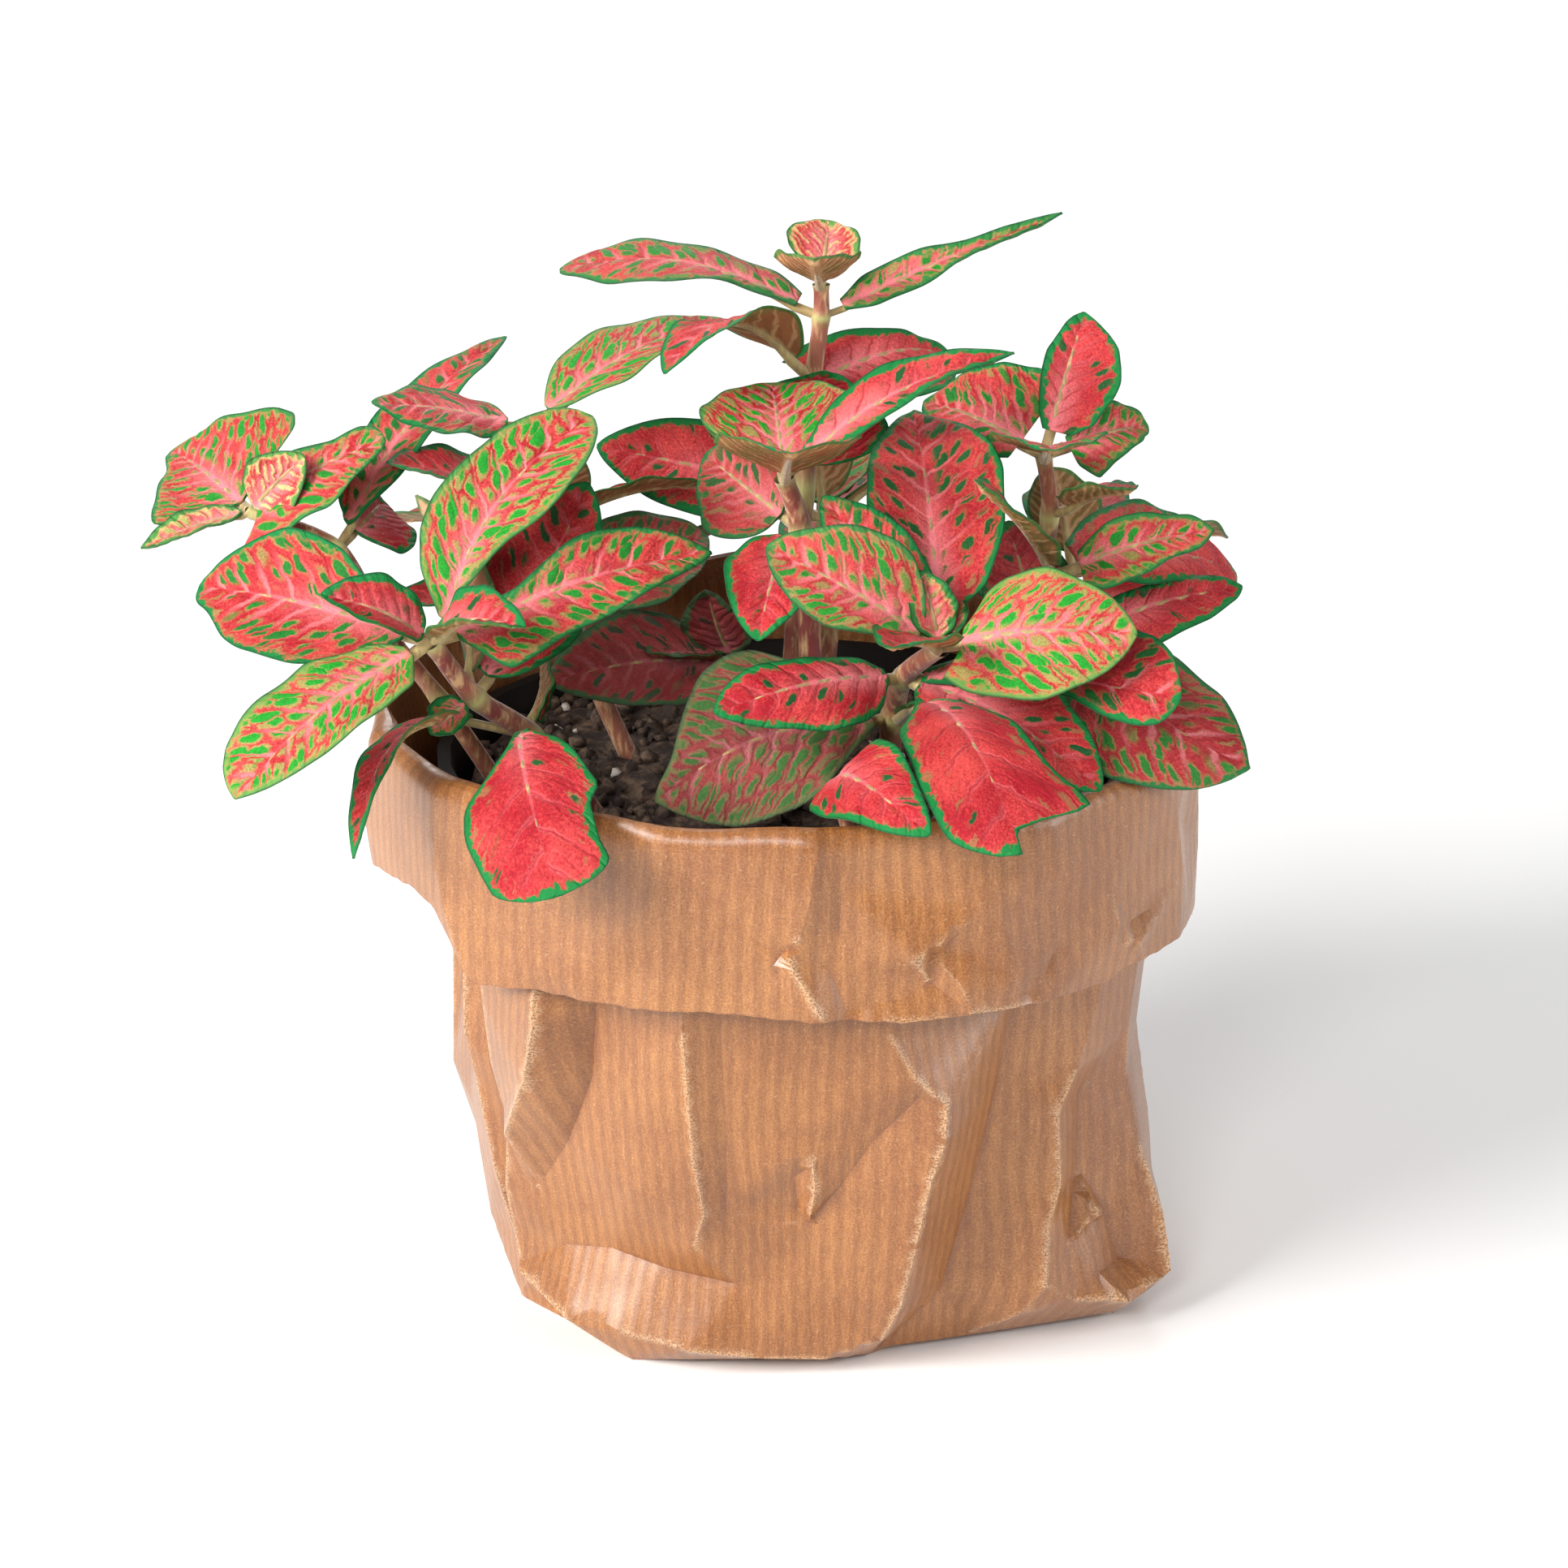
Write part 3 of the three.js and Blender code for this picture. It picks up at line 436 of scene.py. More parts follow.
def leaf_material():
    made, t, shader = material("nerve_leaf")
    k = leaf_values(t)
    # Veins sink a little, and the tissue between them is finely pebbled.
    height = t.plus(t.ramp(k.net["Wall gap"], 0.0, 0.45, 0.0, 0.6), t.times(k.speck, 0.9))
    height = t.plus(height, t.ramp(k.net["Rib gap"], 0.0, 0.5, 0.0, 0.7))
    t.set(
        shader,
        Base_Color=t.mix(k.under, upper_side(t, k), under_side(t, k)),
        Roughness=t.ramp(k.speck, 0.3, 0.7, 0.42, 0.6),
        Specular_IOR_Level=0.22,
        Normal=t.bump(height, 0.7, 0.00022),
    )
    return made


LEAF = leaf_material()
print("leaf material:", len(LEAF.node_tree.nodes), "nodes")

# %% [markdown]
# ## The plant's shoots
# Each shoot is one stem that stands in the soil, with pairs of leaves at its joints. A leaf is listed by the joint
# it grows from and by where its tip is, because those two points are what one sees and measures on a real plant.
# Most leaves are plain ovals. A leaf that is bent, rolled or torn lists how far its `left` and `right` halves
# reach from the midrib at a few `places` between its base and its tip.

# %% leaves and shoots
PLACES = (0, 0.12, 0.25, 0.37, 0.5, 0.62, 0.75, 0.87, 1)


class Leaf(NamedTuple):
    at: int  # the joint it grows from
    tip: tuple
    wide: float  # in mm, at its widest
    face: tuple  # the way its upper side looks
    arch: float = 2  # how far its midrib bows up
    cup: float = 10  # how far its halves fold up, in degrees
    stalk: float = 3  # the bare part before the blade, in mm
    age: float = 0.5  # 0 for a young green leaf to 1 for an old red one
    bow: float = 0  # how far its midrib bows to the side
    shade: float = 0  # painted shade: how much darker and duller it is, where it lies low in the plant in the others' shade
    cream: float = 0  # how cream its tissue is, as in a leaf that has just opened
    lobe: tuple = (0, 0)  # how far each half reaches back past the stalk
    places: tuple = PLACES
    left: tuple = ()  # none for a plain oval
    right: tuple = ()


class Shoot(NamedTuple):
    thick: float
    joints: list
    leaves: list


print("places along a bent leaf:", PLACES)

# %% [markdown]
# The two shoots that lean out to the left, and the one behind them. Their tips carry young leaves and many old
# ones hang below.

# %% shoots on the left
SHOOTS = {
    "front_left": Shoot(3, [(-20, -14, 58), (-30, -19, 74), (-36, -24, 80.5), (-40.5, -28, 88.5)], [
        Leaf(3, (-68.5, -16, 91.5), 19, (-0.2, -0.9, 0.8), arch=3, cup=12, age=0.45,
             left=(1, 5, 7.2, 8.4, 8.4, 8, 6.4, 3.6, 2), right=(1, 4, 5, 7.4, 8.4, 8.2, 6.4, 4.2, 1.5)),
        Leaf(3, (-62, -42, 74.5), 13.5, (-0.5, -0.8, 0.7), arch=3, cup=8, age=0.12,
             left=(1, 5.6, 6, 6.3, 6.5, 5.8, 4.8, 3, 0.8), right=(1, 3.6, 4.8, 6, 6, 6.2, 6, 5.2, 2.4)),
        Leaf(3, (-22.5, -10, 110.5), 18, (-0.45, -1, 0.2), age=0.2, bow=-2.6,
             left=(0.8, 5.8, 8.4, 9.2, 8.8, 8.6, 7.8, 5.6, 3), right=(0.8, 0.3, 0.8, 1.6, 3.4, 4.5, 4.2, 3.2, 1.4)),
        Leaf(3, (-8.5, -14, 95), 16, (0, -1, 0.75), cup=8, age=0.38, bow=-1,
             left=(1, 2, 2.4, 4.2, 5.8, 6.2, 5.6, 3.6, 0.6), right=(1, 7, 6.2, 5.2, 4.6, 3.8, 2.7, 1.7, 0.6)),
        Leaf(3, (-52.5, -32, 95.5), 8, (0.2, -0.7, 0.9), cup=25, stalk=1.5, age=0.8),
        Leaf(3, (-29, -38, 93.5), 8, (0, -0.5, 1), arch=2.5, cup=30, stalk=1.5, age=0.75),
        Leaf(2, (-23, -12, 103), 15, (-0.3, -1, 0.3), arch=-2, cup=8, age=0.75),
        Leaf(2, (-43, -14, 102), 7, (0.5, 1, 0.3), cup=8, age=0.6, bow=-2, shade=0.5),
        Leaf(1, (-49, -40, 66.5), 7.5, (-0.7, -0.3, 0.6), arch=9, cup=6, stalk=6, age=0.85),
        Leaf(1, (-25, -57, 68.5), 18, (-0.1, -1, 0.6), arch=8, cup=-8, stalk=2, age=1,
             places=(0, 0.25, 0.37, 0.5, 0.62, 0.7, 0.74, 0.78, 0.87, 0.94, 1),
             left=(0.6, 1, 3.7, 6, 7, 7.9, 6.1, 6.5, 6.4, 7, 6),
             right=(0.6, 1, 1.6, 4, 7.4, 8, 8.4, 8.4, 7.8, 7, 5)),
        Leaf(2, (-41, -27, 77), 5, (-0.2, -0.9, 0.5), arch=1, stalk=1.5, age=0.4),
        Leaf(1, (-28.5, -12, 82.5), 8, (1, 0.3, 0.3), arch=1, stalk=2, age=0.7),
    ]),
    "far_left": Shoot(2.2, [(-31, -8, 58), (-41, -12, 76), (-48, -8, 84), (-53.5, -4, 92.5), (-64, -2, 96.5)], [
        Leaf(4, (-76, 18, 98.5), 19, (-0.46, -0.3, 0.86), cup=6, stalk=2, age=0.28,
             left=(0.8, 6.5, 9.5, 8.3, 6.3, 4.4, 2.8, 1.8, 0.8), right=(0.8, 11, 12.4, 12, 10, 7.9, 6, 4, 1)),
        Leaf(4, (-47.5, -2, 105.5), 15, (0.1, -0.55, 0.85), arch=1.5, cup=6, stalk=1.5, age=0.34, lobe=(0, 4.5),
             left=(1, 3, 4, 3.8, 2.8, 2.7, 2.8, 3, 2), right=(6, 7, 6.9, 6.7, 7, 6.4, 4.2, 2.8, 1.2)),
        Leaf(4, (-57, -4, 104), 8, (-0.3, -1, 0.2), arch=1, stalk=1, age=0.15, cream=1),
        Leaf(4, (-77, -4, 92.5), 5, (0, -0.4, 1), arch=1, cup=12, stalk=1, age=0.2, cream=0.6),
        Leaf(3, (-49, 8, 95), 13, (0.2, -1, 0.3), cup=8, age=0.85),
        Leaf(3, (-34.5, 22, 112), 9, (-0.4, -0.6, 0.7), arch=4, cup=5),
    ]),
    "mid_left": Shoot(2.4, [(-17, 4, 58), (-26.5, 4, 81.5), (-29, 4, 93.5), (-30.5, 3, 105.5)], [
        Leaf(3, (-7.5, 17, 115.5), 15, (-0.3, -0.2, 1), arch=2.5, cup=6, age=0.18),
        Leaf(3, (-49, -2, 110), 12, (0.2, -0.2, 1), arch=1, cup=-6),
        Leaf(2, (-47.5, -2, 102.5), 12, (0.1, -0.1, 1), age=0.8),
        Leaf(2, (-7.5, 4, 98), 12, (0, 0.3, 1), cup=5, age=0.8),
        Leaf(1, (-9.5, 13, 89), 14, (-0.2, -0.8, 0.7), arch=3, cup=8, shade=0.5),
    ]),
}
print(len(SHOOTS), "shoots,", sum(len(shoot.leaves) for shoot in SHOOTS.values()), "leaves")

# %% [markdown]
# The highest shoot and the one at the centre. Their leaves look up and hide their stems.

# %% shoots in the middle
SHOOTS |= {
    "top": Shoot(2.6, [(0, 6, 58), (2.5, 14, 95), (3.5, 12, 109), (4.5, 12, 117), (4.5, 12, 121)], [
        Leaf(3, (-27.5, 20, 121), 11, (-0.1, -0.3, 1), arch=4.5, cup=-3, age=0.34, shade=0.2,
             left=(1, 1.7, 2.2, 3.4, 5, 5.6, 5.1, 3.6, 2), right=(2, 3.6, 4, 4.2, 4.2, 4.1, 4.2, 4, 2.4)),
        Leaf(3, (34, 20, 128), 6, (0, -0.55, 0.8), arch=1, cup=8, age=0.3,
             left=(1, 2.6, 2.8, 2.4, 1.7, 1.2, 1.1, 0.8, 0.3), right=(1, 2.6, 2.8, 2.4, 1.7, 1.2, 1.1, 0.8, 0.3)),
        Leaf(4, (5.5, 18, 127.5), 9, (0, -1, 0.3), arch=1, stalk=1, age=0.15, cream=1,
             left=(0.6, 1.6, 3.5, 4.7, 5.1, 5, 4.3, 3.1, 1), right=(0.8, 2.6, 3.8, 4.3, 4.2, 4.1, 3.5, 2.3, 1)),
        Leaf(4, (3.5, 2, 126.5), 11, (0, 0.2, 1), arch=0, cup=20, stalk=2),
        Leaf(2, (-14, -6, 114.5), 13, (-0.5, -0.2, 0.9), arch=7, cup=5, age=0.65),
        Leaf(2, (21, 24, 109), 16, (0, -0.9, 0.8), arch=4, cup=5, stalk=0.5, age=1, lobe=(3, 3),
             left=(4, 4.8, 4.3, 3.6, 3.1, 2.5, 1.9, 1.4, 0.6), right=(5, 6, 7, 7.4, 7.4, 7, 6, 4, 1)),
        Leaf(1, (5, 9, 111), 18, (0.1, -1, 0.3), arch=-1, cup=5, age=0.95),
        Leaf(1, (-23, 13, 100.5), 12, (0, -1, 0.25), cup=5, age=0.85),
    ]),
    "centre": Shoot(3, [(4, -8, 58), (2, -8, 96), (0, -10, 103)], [
        Leaf(2, (-1.5, 5, 110.5), 18.5, (0, -0.7, 0.8), cup=8, stalk=1.5, age=0.2),
        Leaf(2, (1, -30, 111.5), 18, (0, 0.3, 1), arch=1, cup=15, stalk=2),
        Leaf(2, (27, -6, 117), 8, (-0.5, -0.6, 0.7), arch=4, cup=5, age=0.85,
             left=(1, 2.5, 3.6, 4, 4, 3.8, 3, 1.8, 0.4), right=(1, 2, 3, 3, 2.6, 2.1, 1.3, 1, 0.4)),
        Leaf(1, (-9.5, 2, 102.5), 14, (-0.3, -1, 0.4), arch=1, cup=5, shade=0.35),
        Leaf(1, (-3, -26, 88), 12, (-0.3, -1, 0.4), arch=3, cup=5, age=1),
    ]),
}
print(len(SHOOTS), "shoots,", sum(len(shoot.leaves) for shoot in SHOOTS.values()), "leaves")

# %% [markdown]
# The shoots in front on the right, behind them, and at the far right.

# %% shoots on the right
SHOOTS |= {
    "front_right": Shoot(3, [(12, -12, 58), (13, -16, 75.5), (14, -20, 81.5), (18, -28, 88)], [
        Leaf(3, (15.5, -2, 109), 16.5, (0.1, -1, 0.2), arch=3, cup=8, age=0.6,
             left=(1, 4, 6.5, 7.5, 7.6, 7.1, 6, 3.8, 0.6), right=(1, 5.8, 7.3, 8.5, 9, 9.3, 8.2, 5.6, 0.8)),
        Leaf(3, (-2, -28, 100), 15, (-0.1, -0.9, 0.7), cup=8, age=0.26, shade=0.15,
             left=(1, 2.5, 3.6, 4.7, 5.6, 5.4, 4.8, 3.5, 1), right=(1, 4.5, 7.2, 7.8, 7.3, 6.6, 5.3, 3.6, 1)),
        Leaf(3, (40, -34, 91.5), 15.5, (0.1, -0.9, 0.75), arch=3, cup=-5, age=0.05, lobe=(0, 2.5),
             left=(2, 5.6, 7.2, 7.8, 7.8, 7.3, 6.1, 4.3, 1.2), right=(4, 6.2, 7.5, 8.2, 8.1, 7.7, 6.4, 4.5, 1.2)),
        Leaf(3, (15.5, -26, 96.5), 6, (0.2, -1, 0.3), arch=1, cup=15, stalk=1, age=0.3, cream=0.5),
        Leaf(3, (20, -24, 93), 4.5, (-0.2, -1, 0.3), arch=1, cup=15, stalk=1, age=0.3, cream=0.5),
        Leaf(3, (11.5, -44, 93), 10, (-0.2, -0.5, 1), arch=1, stalk=1, age=0.8),
        Leaf(2, (-8, -34, 82), 14, (-0.2, -0.9, 0.8), arch=3, cup=-6, age=0.95,
             left=(1, 4.5, 6, 6.4, 6.4, 5.6, 4.4, 2.8, 1), right=(1, 2.5, 3.4, 3.4, 3.6, 4, 4, 3.2, 1)),
        Leaf(2, (36, -38, 74), 15, (0.3, -0.6, 0.8), arch=3, cup=5, age=0.85),
        Leaf(2, (45, -36, 84.5), 13, (0.2, -0.9, 0.7), arch=3, cup=-5, age=0.62,
             places=(0, 0.25, 0.5, 0.62, 0.75, 0.87, 0.94, 1), left=(1, 4, 7, 8, 8, 7.2, 5.2, 2.5),
             right=(1, 1.5, 1.8, 2.2, 3.8, 4.4, 3.8, 2.5)),
        Leaf(1, (26, -57, 73.5), 19, (0.3, -1, 0.6), arch=8, cup=-8, stalk=1.5, age=1,
             places=(0, 0.25, 0.37, 0.5, 0.62, 0.75, 0.86, 0.9, 0.92, 0.96, 1),
             left=(0.6, 1, 3.5, 6.5, 7.1, 8.2, 10.2, 10.4, 0.4, 0.3, 0.3),
             right=(0.6, 1.5, 4, 7.2, 7.9, 8.2, 7.7, 7.4, 7.2, 5.6, 4)),
        Leaf(1, (-15, -28, 69), 21, (-0.3, -0.9, 0.6), arch=3, cup=5, age=0.24, bow=2, shade=0.8,
             left=(1, 3, 5, 7.3, 8.5, 8.3, 7.2, 5.1, 1), right=(2, 7, 10, 12.5, 13, 12, 8, 3.8, 1)),
        Leaf(3, (4.5, -18, 103), 10, (0.2, -0.9, 0.5), arch=1, cup=5),
    ]),
    "back_right": Shoot(2.6, [(22, 4, 58), (30, 4, 81.5), (32, 0, 95.5), (31, -2, 103.5)], [
        Leaf(3, (36, 6, 119), 12, (-0.1, -1, 0.3), arch=1, cup=5, age=0.85,
             left=(1, 2, 2.6, 2.9, 3, 3.1, 2.5, 1.8, 0.6), right=(2.5, 4.9, 5.7, 6.3, 6.5, 6.2, 5.4, 3.6, 0.8)),
        Leaf(3, (17, 8, 107.5), 16, (0.1, -0.85, 0.7), cup=5, age=0.4, left=(3, 4, 4, 4, 4, 4, 3.5, 2.5, 0.8),
             right=(6, 9, 9, 8.8, 8, 6.7, 5.2, 3.3, 0.8)),
        Leaf(3, (44, 6, 105), 13, (0, -0.9, 0.6), cup=5, age=0.35, left=(1, 2, 3, 4, 4, 3.8, 3.4, 2.6, 1),
             right=(3, 5.5, 4.8, 3.9, 3.4, 2.9, 2.4, 1.5, 1)),
        Leaf(3, (31, -20, 109), 14, (0, 0.3, 1), arch=1, stalk=2),
        Leaf(2, (41.5, -8, 101), 10, (0, 0.2, 1), arch=1, age=0.6),
    ]),
    "right": Shoot(2.6, [(27, -6, 58), (31.5, -6, 80.5), (32.5, -8, 90.5)], [
        Leaf(2, (51, -8, 96), 12, (-0.1, -0.8, 0.8), cup=5, age=0.28,
             left=(1.5, 2.9, 3.6, 3.9, 3.7, 3.4, 2.9, 2.2, 0.5), right=(3, 4.7, 4.7, 4.4, 4, 3.5, 2.9, 2.3, 0.5)),
        Leaf(2, (21.5, -31, 108.5), 8, (0.8, 0.5, 0.5), arch=1, age=0.7),
        Leaf(2, (56, 12, 84.5), 18, (-0.1, -0.8, 0.8), arch=4, cup=-5, age=1,
             left=(4, 6.5, 8, 8.6, 8.6, 8.2, 8, 6.5, 3), right=(2, 3, 4, 4, 4, 4, 4, 3.5, 1.5)),
        Leaf(1, (55.5, 0, 86.5), 17, (0, -0.8, 0.8), arch=3, cup=-5, age=0.95,
             left=(1, 2, 2.4, 2.6, 2.8, 3.1, 2.8, 2, 0.8), right=(2, 4, 5, 5, 4.8, 4.5, 3.6, 2.4, 1)),
        Leaf(1, (26.5, -6, 96.5), 11, (0, -1, 0.3), arch=1, cup=5, age=0.95, shade=0.3),
        Leaf(1, (54, -28, 73), 17, (0.1, -0.6, 0.8), arch=7, cup=-5, age=0.42, bow=5, shade=0.25,
             left=(1, 2, 3, 3.5, 4, 4, 4.2, 2.8, 0.8), right=(2, 8, 14, 17, 17, 16.3, 14.3, 10.5, 4.5)),
    ]),
}
print(len(SHOOTS), "shoots,", sum(len(shoot.leaves) for shoot in SHOOTS.values()), "leaves")

# %% [markdown]
# The small shoots inside the plant and low in front, and three at the back, which make it full from all sides.

# %% small and hidden shoots
SHOOTS |= {
    "inner": Shoot(2.4, [(-6, 6, 58), (-6, 6, 74.5)], [
        Leaf(1, (-28.5, -8, 77), 14, (0, -0.8, 0.8), arch=3, cup=5, age=0.7, shade=0.7),
        Leaf(1, (-16.5, -3, 79), 9, (0, -0.1, 1), arch=1, age=0.7, shade=0.5),
        Leaf(1, (-9.5, 0, 86), 9, (-0.4, -1, 0.5), arch=1, cup=5, age=0.9, shade=0.8),
    ]),
    "low_front": Shoot(2, [(10, -30, 58), (6, -33, 72)], [
        Leaf(1, (16, -55, 75), 12, (0, -1, 0.7), arch=6, cup=-5, stalk=1, age=0.95),
    ]),
    "back_left": Shoot(2.4, [(-16, 20, 58), (-27, 28, 72), (-33, 33, 80)], [
        Leaf(2, (-56, 40, 81), 16, (-0.2, 0.3, 1), arch=4, cup=6, age=0.4),
        Leaf(2, (-34, 60, 78), 16, (0, 0.4, 1), arch=4, cup=6, age=0.15),
        Leaf(2, (-26, 34, 93), 11, (-0.3, 0.9, 0.3), age=0.7),
        Leaf(1, (-8, 46, 80), 15, (0, 0.5, 1), arch=3, cup=6),
        Leaf(1, (-50, 19, 78), 14, (0, 0, 1), arch=3, cup=6, age=0.9),
    ]),
    "back": Shoot(2.6, [(4, 22, 58), (6, 28, 74), (5, 30, 86)], [
        Leaf(2, (-19, 44, 88), 15, (-0.1, 0.4, 1), arch=4, cup=8, age=0.35),
        Leaf(2, (28, 42, 89), 15, (0.1, 0.4, 1), arch=4, cup=8, age=0.6),
        Leaf(2, (4, 56, 92), 14, (0, 0.2, 1), cup=8, age=0.1),
        Leaf(2, (4, 27, 99), 9, (0, 1, 0.2), arch=1, cup=12, age=0.8),
        Leaf(1, (10, 62, 76), 17, (0, 0.4, 1), arch=5, cup=6, age=0.95),
    ]),
    "back_far_right": Shoot(2.4, [(20, 18, 58), (30, 26, 72), (37, 30, 79)], [
        Leaf(2, (58, 42, 80), 15, (0.2, 0.3, 1), arch=4, cup=6, age=0.3),
        Leaf(2, (40, 58, 82), 14, (0, 0.4, 1), arch=4, cup=6, age=0.55),
        Leaf(2, (34, 30, 93), 10, (0.2, 0.9, 0.3), age=0.8),
        Leaf(1, (54, 17, 78), 14, (0, 0, 1), arch=3, cup=6, age=0.9),
        Leaf(1, (24, 52, 72.5), 13, (0, 0.4, 1), arch=5, cup=6, age=0.2),
    ]),
}
print(len(SHOOTS), "shoots,", sum(len(shoot.leaves) for shoot in SHOOTS.values()), "leaves")

# %% [markdown]
# ## One leaf blade
# The blade is a thin sheet laid along a bowed midrib. The midrib gives each row of points its place and three
# directions: on towards the tip, aside and up. Then comes how far the sheet reaches on each side. A plain leaf
# takes one sine curve bent by a power, which gives the round base and the short point of a nerve leaf. A bent leaf
# takes its own list, softened between its places and rounded off at the tip.

# %% leaf frame
BLADE_ROWS, BLADE_COLUMNS = 44, 27
QUARTER = math.pi / 2 * 0.86
EVEN = np.linspace(0, 1, BLADE_ROWS)
# Rows lie closer at the base and the tip, and columns closer at the edges, where the outline bends most.
BLADE_RUN = (1 - np.cos(EVEN * math.pi)) / 2 * 0.6 + EVEN * 0.4
BLADE_SHARES = np.sin(np.linspace(-1, 1, BLADE_COLUMNS) * QUARTER) / math.sin(QUARTER)


def midrib(joint, leaf, bow):
    start = np.array(joint, float)
    along = np.array(leaf.tip, float) - start
    length = np.linalg.norm(along)
    along = along / length
    flat = np.array(leaf.face, float)
    flat = unit(flat - flat @ along * along)
    share = leaf.stalk / length + (1 - leaf.stalk / length) * BLADE_RUN
    rise = leaf.arch * 4 * share * (1 - share)
    middle = start + along * (length * share)[:, None] + flat * rise[:, None]
    run = unit(along * length + flat * (leaf.arch * 4 * (1 - 2 * share))[:, None])
    up = unit(flat - (run @ flat)[:, None] * run)
    side = np.cross(run, up)
    return length, share, middle + side * bow[:, None], run, side, up


def half_widths(leaf, bow):
    b = BLADE_RUN
    if not leaf.left:
        plain = np.maximum(leaf.wide / 2 * (np.sin(np.pi * b**0.85) ** 0.62 * (1 - 0.1 * b**3)), 0.25)
        return plain, plain
    cap = np.sqrt(np.clip(1 - (np.clip(b - 0.93, 0, 1) / 0.07) ** 2, 0.01, 1))
    halves = []
    for reach, shift in ((leaf.left, bow), (leaf.right, -bow)):
        half = np.interp(b, leaf.places, reach)
        half[1:-1] = np.convolve(half, (0.25, 0.5, 0.25), "valid")
        halves.append(np.maximum((half + shift) * cap, 0.2))
    return halves


print("a blade has", BLADE_ROWS, "rows of", BLADE_COLUMNS, "points on each side")

# %% [markdown]
# The sheet is dented along its side veins, so the tissue between them swells up in soft pads: that quilting is what
# catches the light on a real leaf. Each point keeps its own millimetres along and across the leaf and its distance
# from the edge, for the colours above. A seed for each leaf makes its edge and its ripples its own.

# %% leaf blades
LEAF_THICK = 0.42


def quilt(x, y, reach, blade_length):
    """How far the sheet sinks at the midrib and along each side vein."""
    back = x - (VEIN_LEAN * np.abs(y) + VEIN_BEND * y * y)
    step = blade_length / SIDE_VEINS
    gap = np.abs(((back / step + VEIN_START + VEIN_STAGGER * np.sign(y)) % 1) - 0.5) * step
    dent = -0.30 * np.exp(-((gap / 0.75) ** 2)) * (1 - reach**3) - 0.35 * np.exp(-((y / 0.8) ** 2))
    return dent * smooth(0, 0.12, BLADE_RUN)[:, None] * (1 - smooth(0.85, 1, BLADE_RUN))[:, None]


def two_sided(sheet, push):
    """A sheet of rows and columns made thick: pushed both ways and closed round its rim."""
    rows, columns = sheet.shape[:2]
    under = rows * columns
    grid = np.arange(under).reshape(rows, columns)
    corners = (grid[:-1, :-1], grid[:-1, 1:], grid[1:, 1:], grid[1:, :-1])
    top = np.stack([corner.ravel() for corner in corners], 1)
    rim = np.concatenate([grid[:, 0], grid[-1, 1:], grid[::-1, -1][1:], grid[0, ::-1][1:]])
    wall = np.stack([rim[:-1], rim[1:], rim[1:] + under, rim[:-1] + under], 1)
    points = [(sheet + push).reshape(-1, 3), (sheet - push).reshape(-1, 3)]
    return np.concatenate(points), np.concatenate([top, top[:, ::-1] + under, wall])


def leaf_blade(joint, leaf, seed):
    """The blade's points, faces and numbers, then its midrib's places and the way up at each."""
    draw, b, v = np.random.default_rng(seed), BLADE_RUN, BLADE_SHARES[None, :]
    bow = leaf.bow * 4 * b * (1 - b)
    length, share, middle, run, side, up = midrib(joint, leaf, bow)
    left, right = half_widths(leaf, bow)
    wobble = 1 + 0.02 * np.sin(b * 14 + draw.uniform(0, 6))
    half = np.where(v < 0, left[:, None], right[:, None]) * wobble[:, None]
    blade_length = length - leaf.stalk
    reach, y = np.abs(v), half * v
    x = ((share - leaf.stalk / length) * length)[:, None] + 0 * v
    phase = draw.uniform(0, 6, 3)
    ripple = 0.28 * reach**2 * np.sin(b[:, None] * 9 + v * 2)
    ripple = ripple + 0.2 * reach**3 * np.sin(b[:, None] * 21 + phase[0] + np.sign(v) * phase[1])
    cup = math.radians(leaf.cup)
    lift = half * reach * math.sin(cup) * (0.5 + 0.5 * reach) + ripple * smooth(0.3, 2.5, half)
    lift = lift + quilt(x, y, reach, blade_length)
    lobe = np.where(v < 0, *leaf.lobe) * reach**1.5 * (1 - smooth(0, 0.5, b))[:, None]
    sheet = middle[:, None] + side[:, None] * (y * np.cos(cup * reach))[..., None] + up[:, None] * lift[..., None]
    sheet = sheet - run[:, None] * lobe[..., None]
    # The sheet is pushed along its own normals, less at the edge and at the tip, where a leaf is thinnest.
    normal = unit(np.cross(np.gradient(sheet, axis=1), np.gradient(sheet, axis=0)))
    normal *= np.sign((normal * up[:, None]).sum(-1, keepdims=True) + 1e-9)
    thick = LEAF_THICK * (0.25 + 0.75 * smooth(0, 0.25, 1 - reach)) * (0.35 + 0.65 * smooth(0, 0.1, 1 - b))[:, None]
    points, faces = two_sided(sheet, normal * (thick[..., None] / 2))
    edge = np.minimum((half - np.abs(y)) * 0.92, np.abs(blade_length - x) * 0.7 + 0.15)
    by_point = {"along": x, "across": y, "edge": np.maximum(edge, 0), "half": half}
    by_leaf = {
        "length": blade_length,
        "age": np.clip(leaf.age + draw.uniform(-0.04, 0.04), 0, 1),
        "seed": draw.uniform(0, 1),
        "shade": leaf.shade,
        "cream": leaf.cream,
    }
    attributes = {key: np.tile(values.ravel(), 2) for key, values in by_point.items()}
    attributes |= {key: np.full(len(points), value) for key, value in by_leaf.items()}
    attributes["under"] = np.repeat([0.0, 1.0], x.size)
    return (points, faces, attributes), middle, up


print("leaf blades ready,", LEAF_THICK, "mm thick")

# %% [markdown]
# ## Stems, leaf stalks and the ribs under the leaves
# The stems are soft and slightly hairy, brown-red where the light reaches them and paler at each joint, where they
# swell a little. A stem is a round tube along a curve through its joints. Each leaf's stalk is one more tube, and
# it runs on under the blade as a raised midrib which gets thinner towards the tip.

# %% stem shapes
def ring_faces(rows, sides):
    """Four-sided faces between each ring of points and the next one."""
    grid = np.arange(rows * sides).reshape(rows, sides)
    turned = np.roll(grid, -1, axis=1)
    return np.stack([corner.ravel() for corner in (grid[:-1], turned[:-1], turned[1:], grid[1:])], 1)


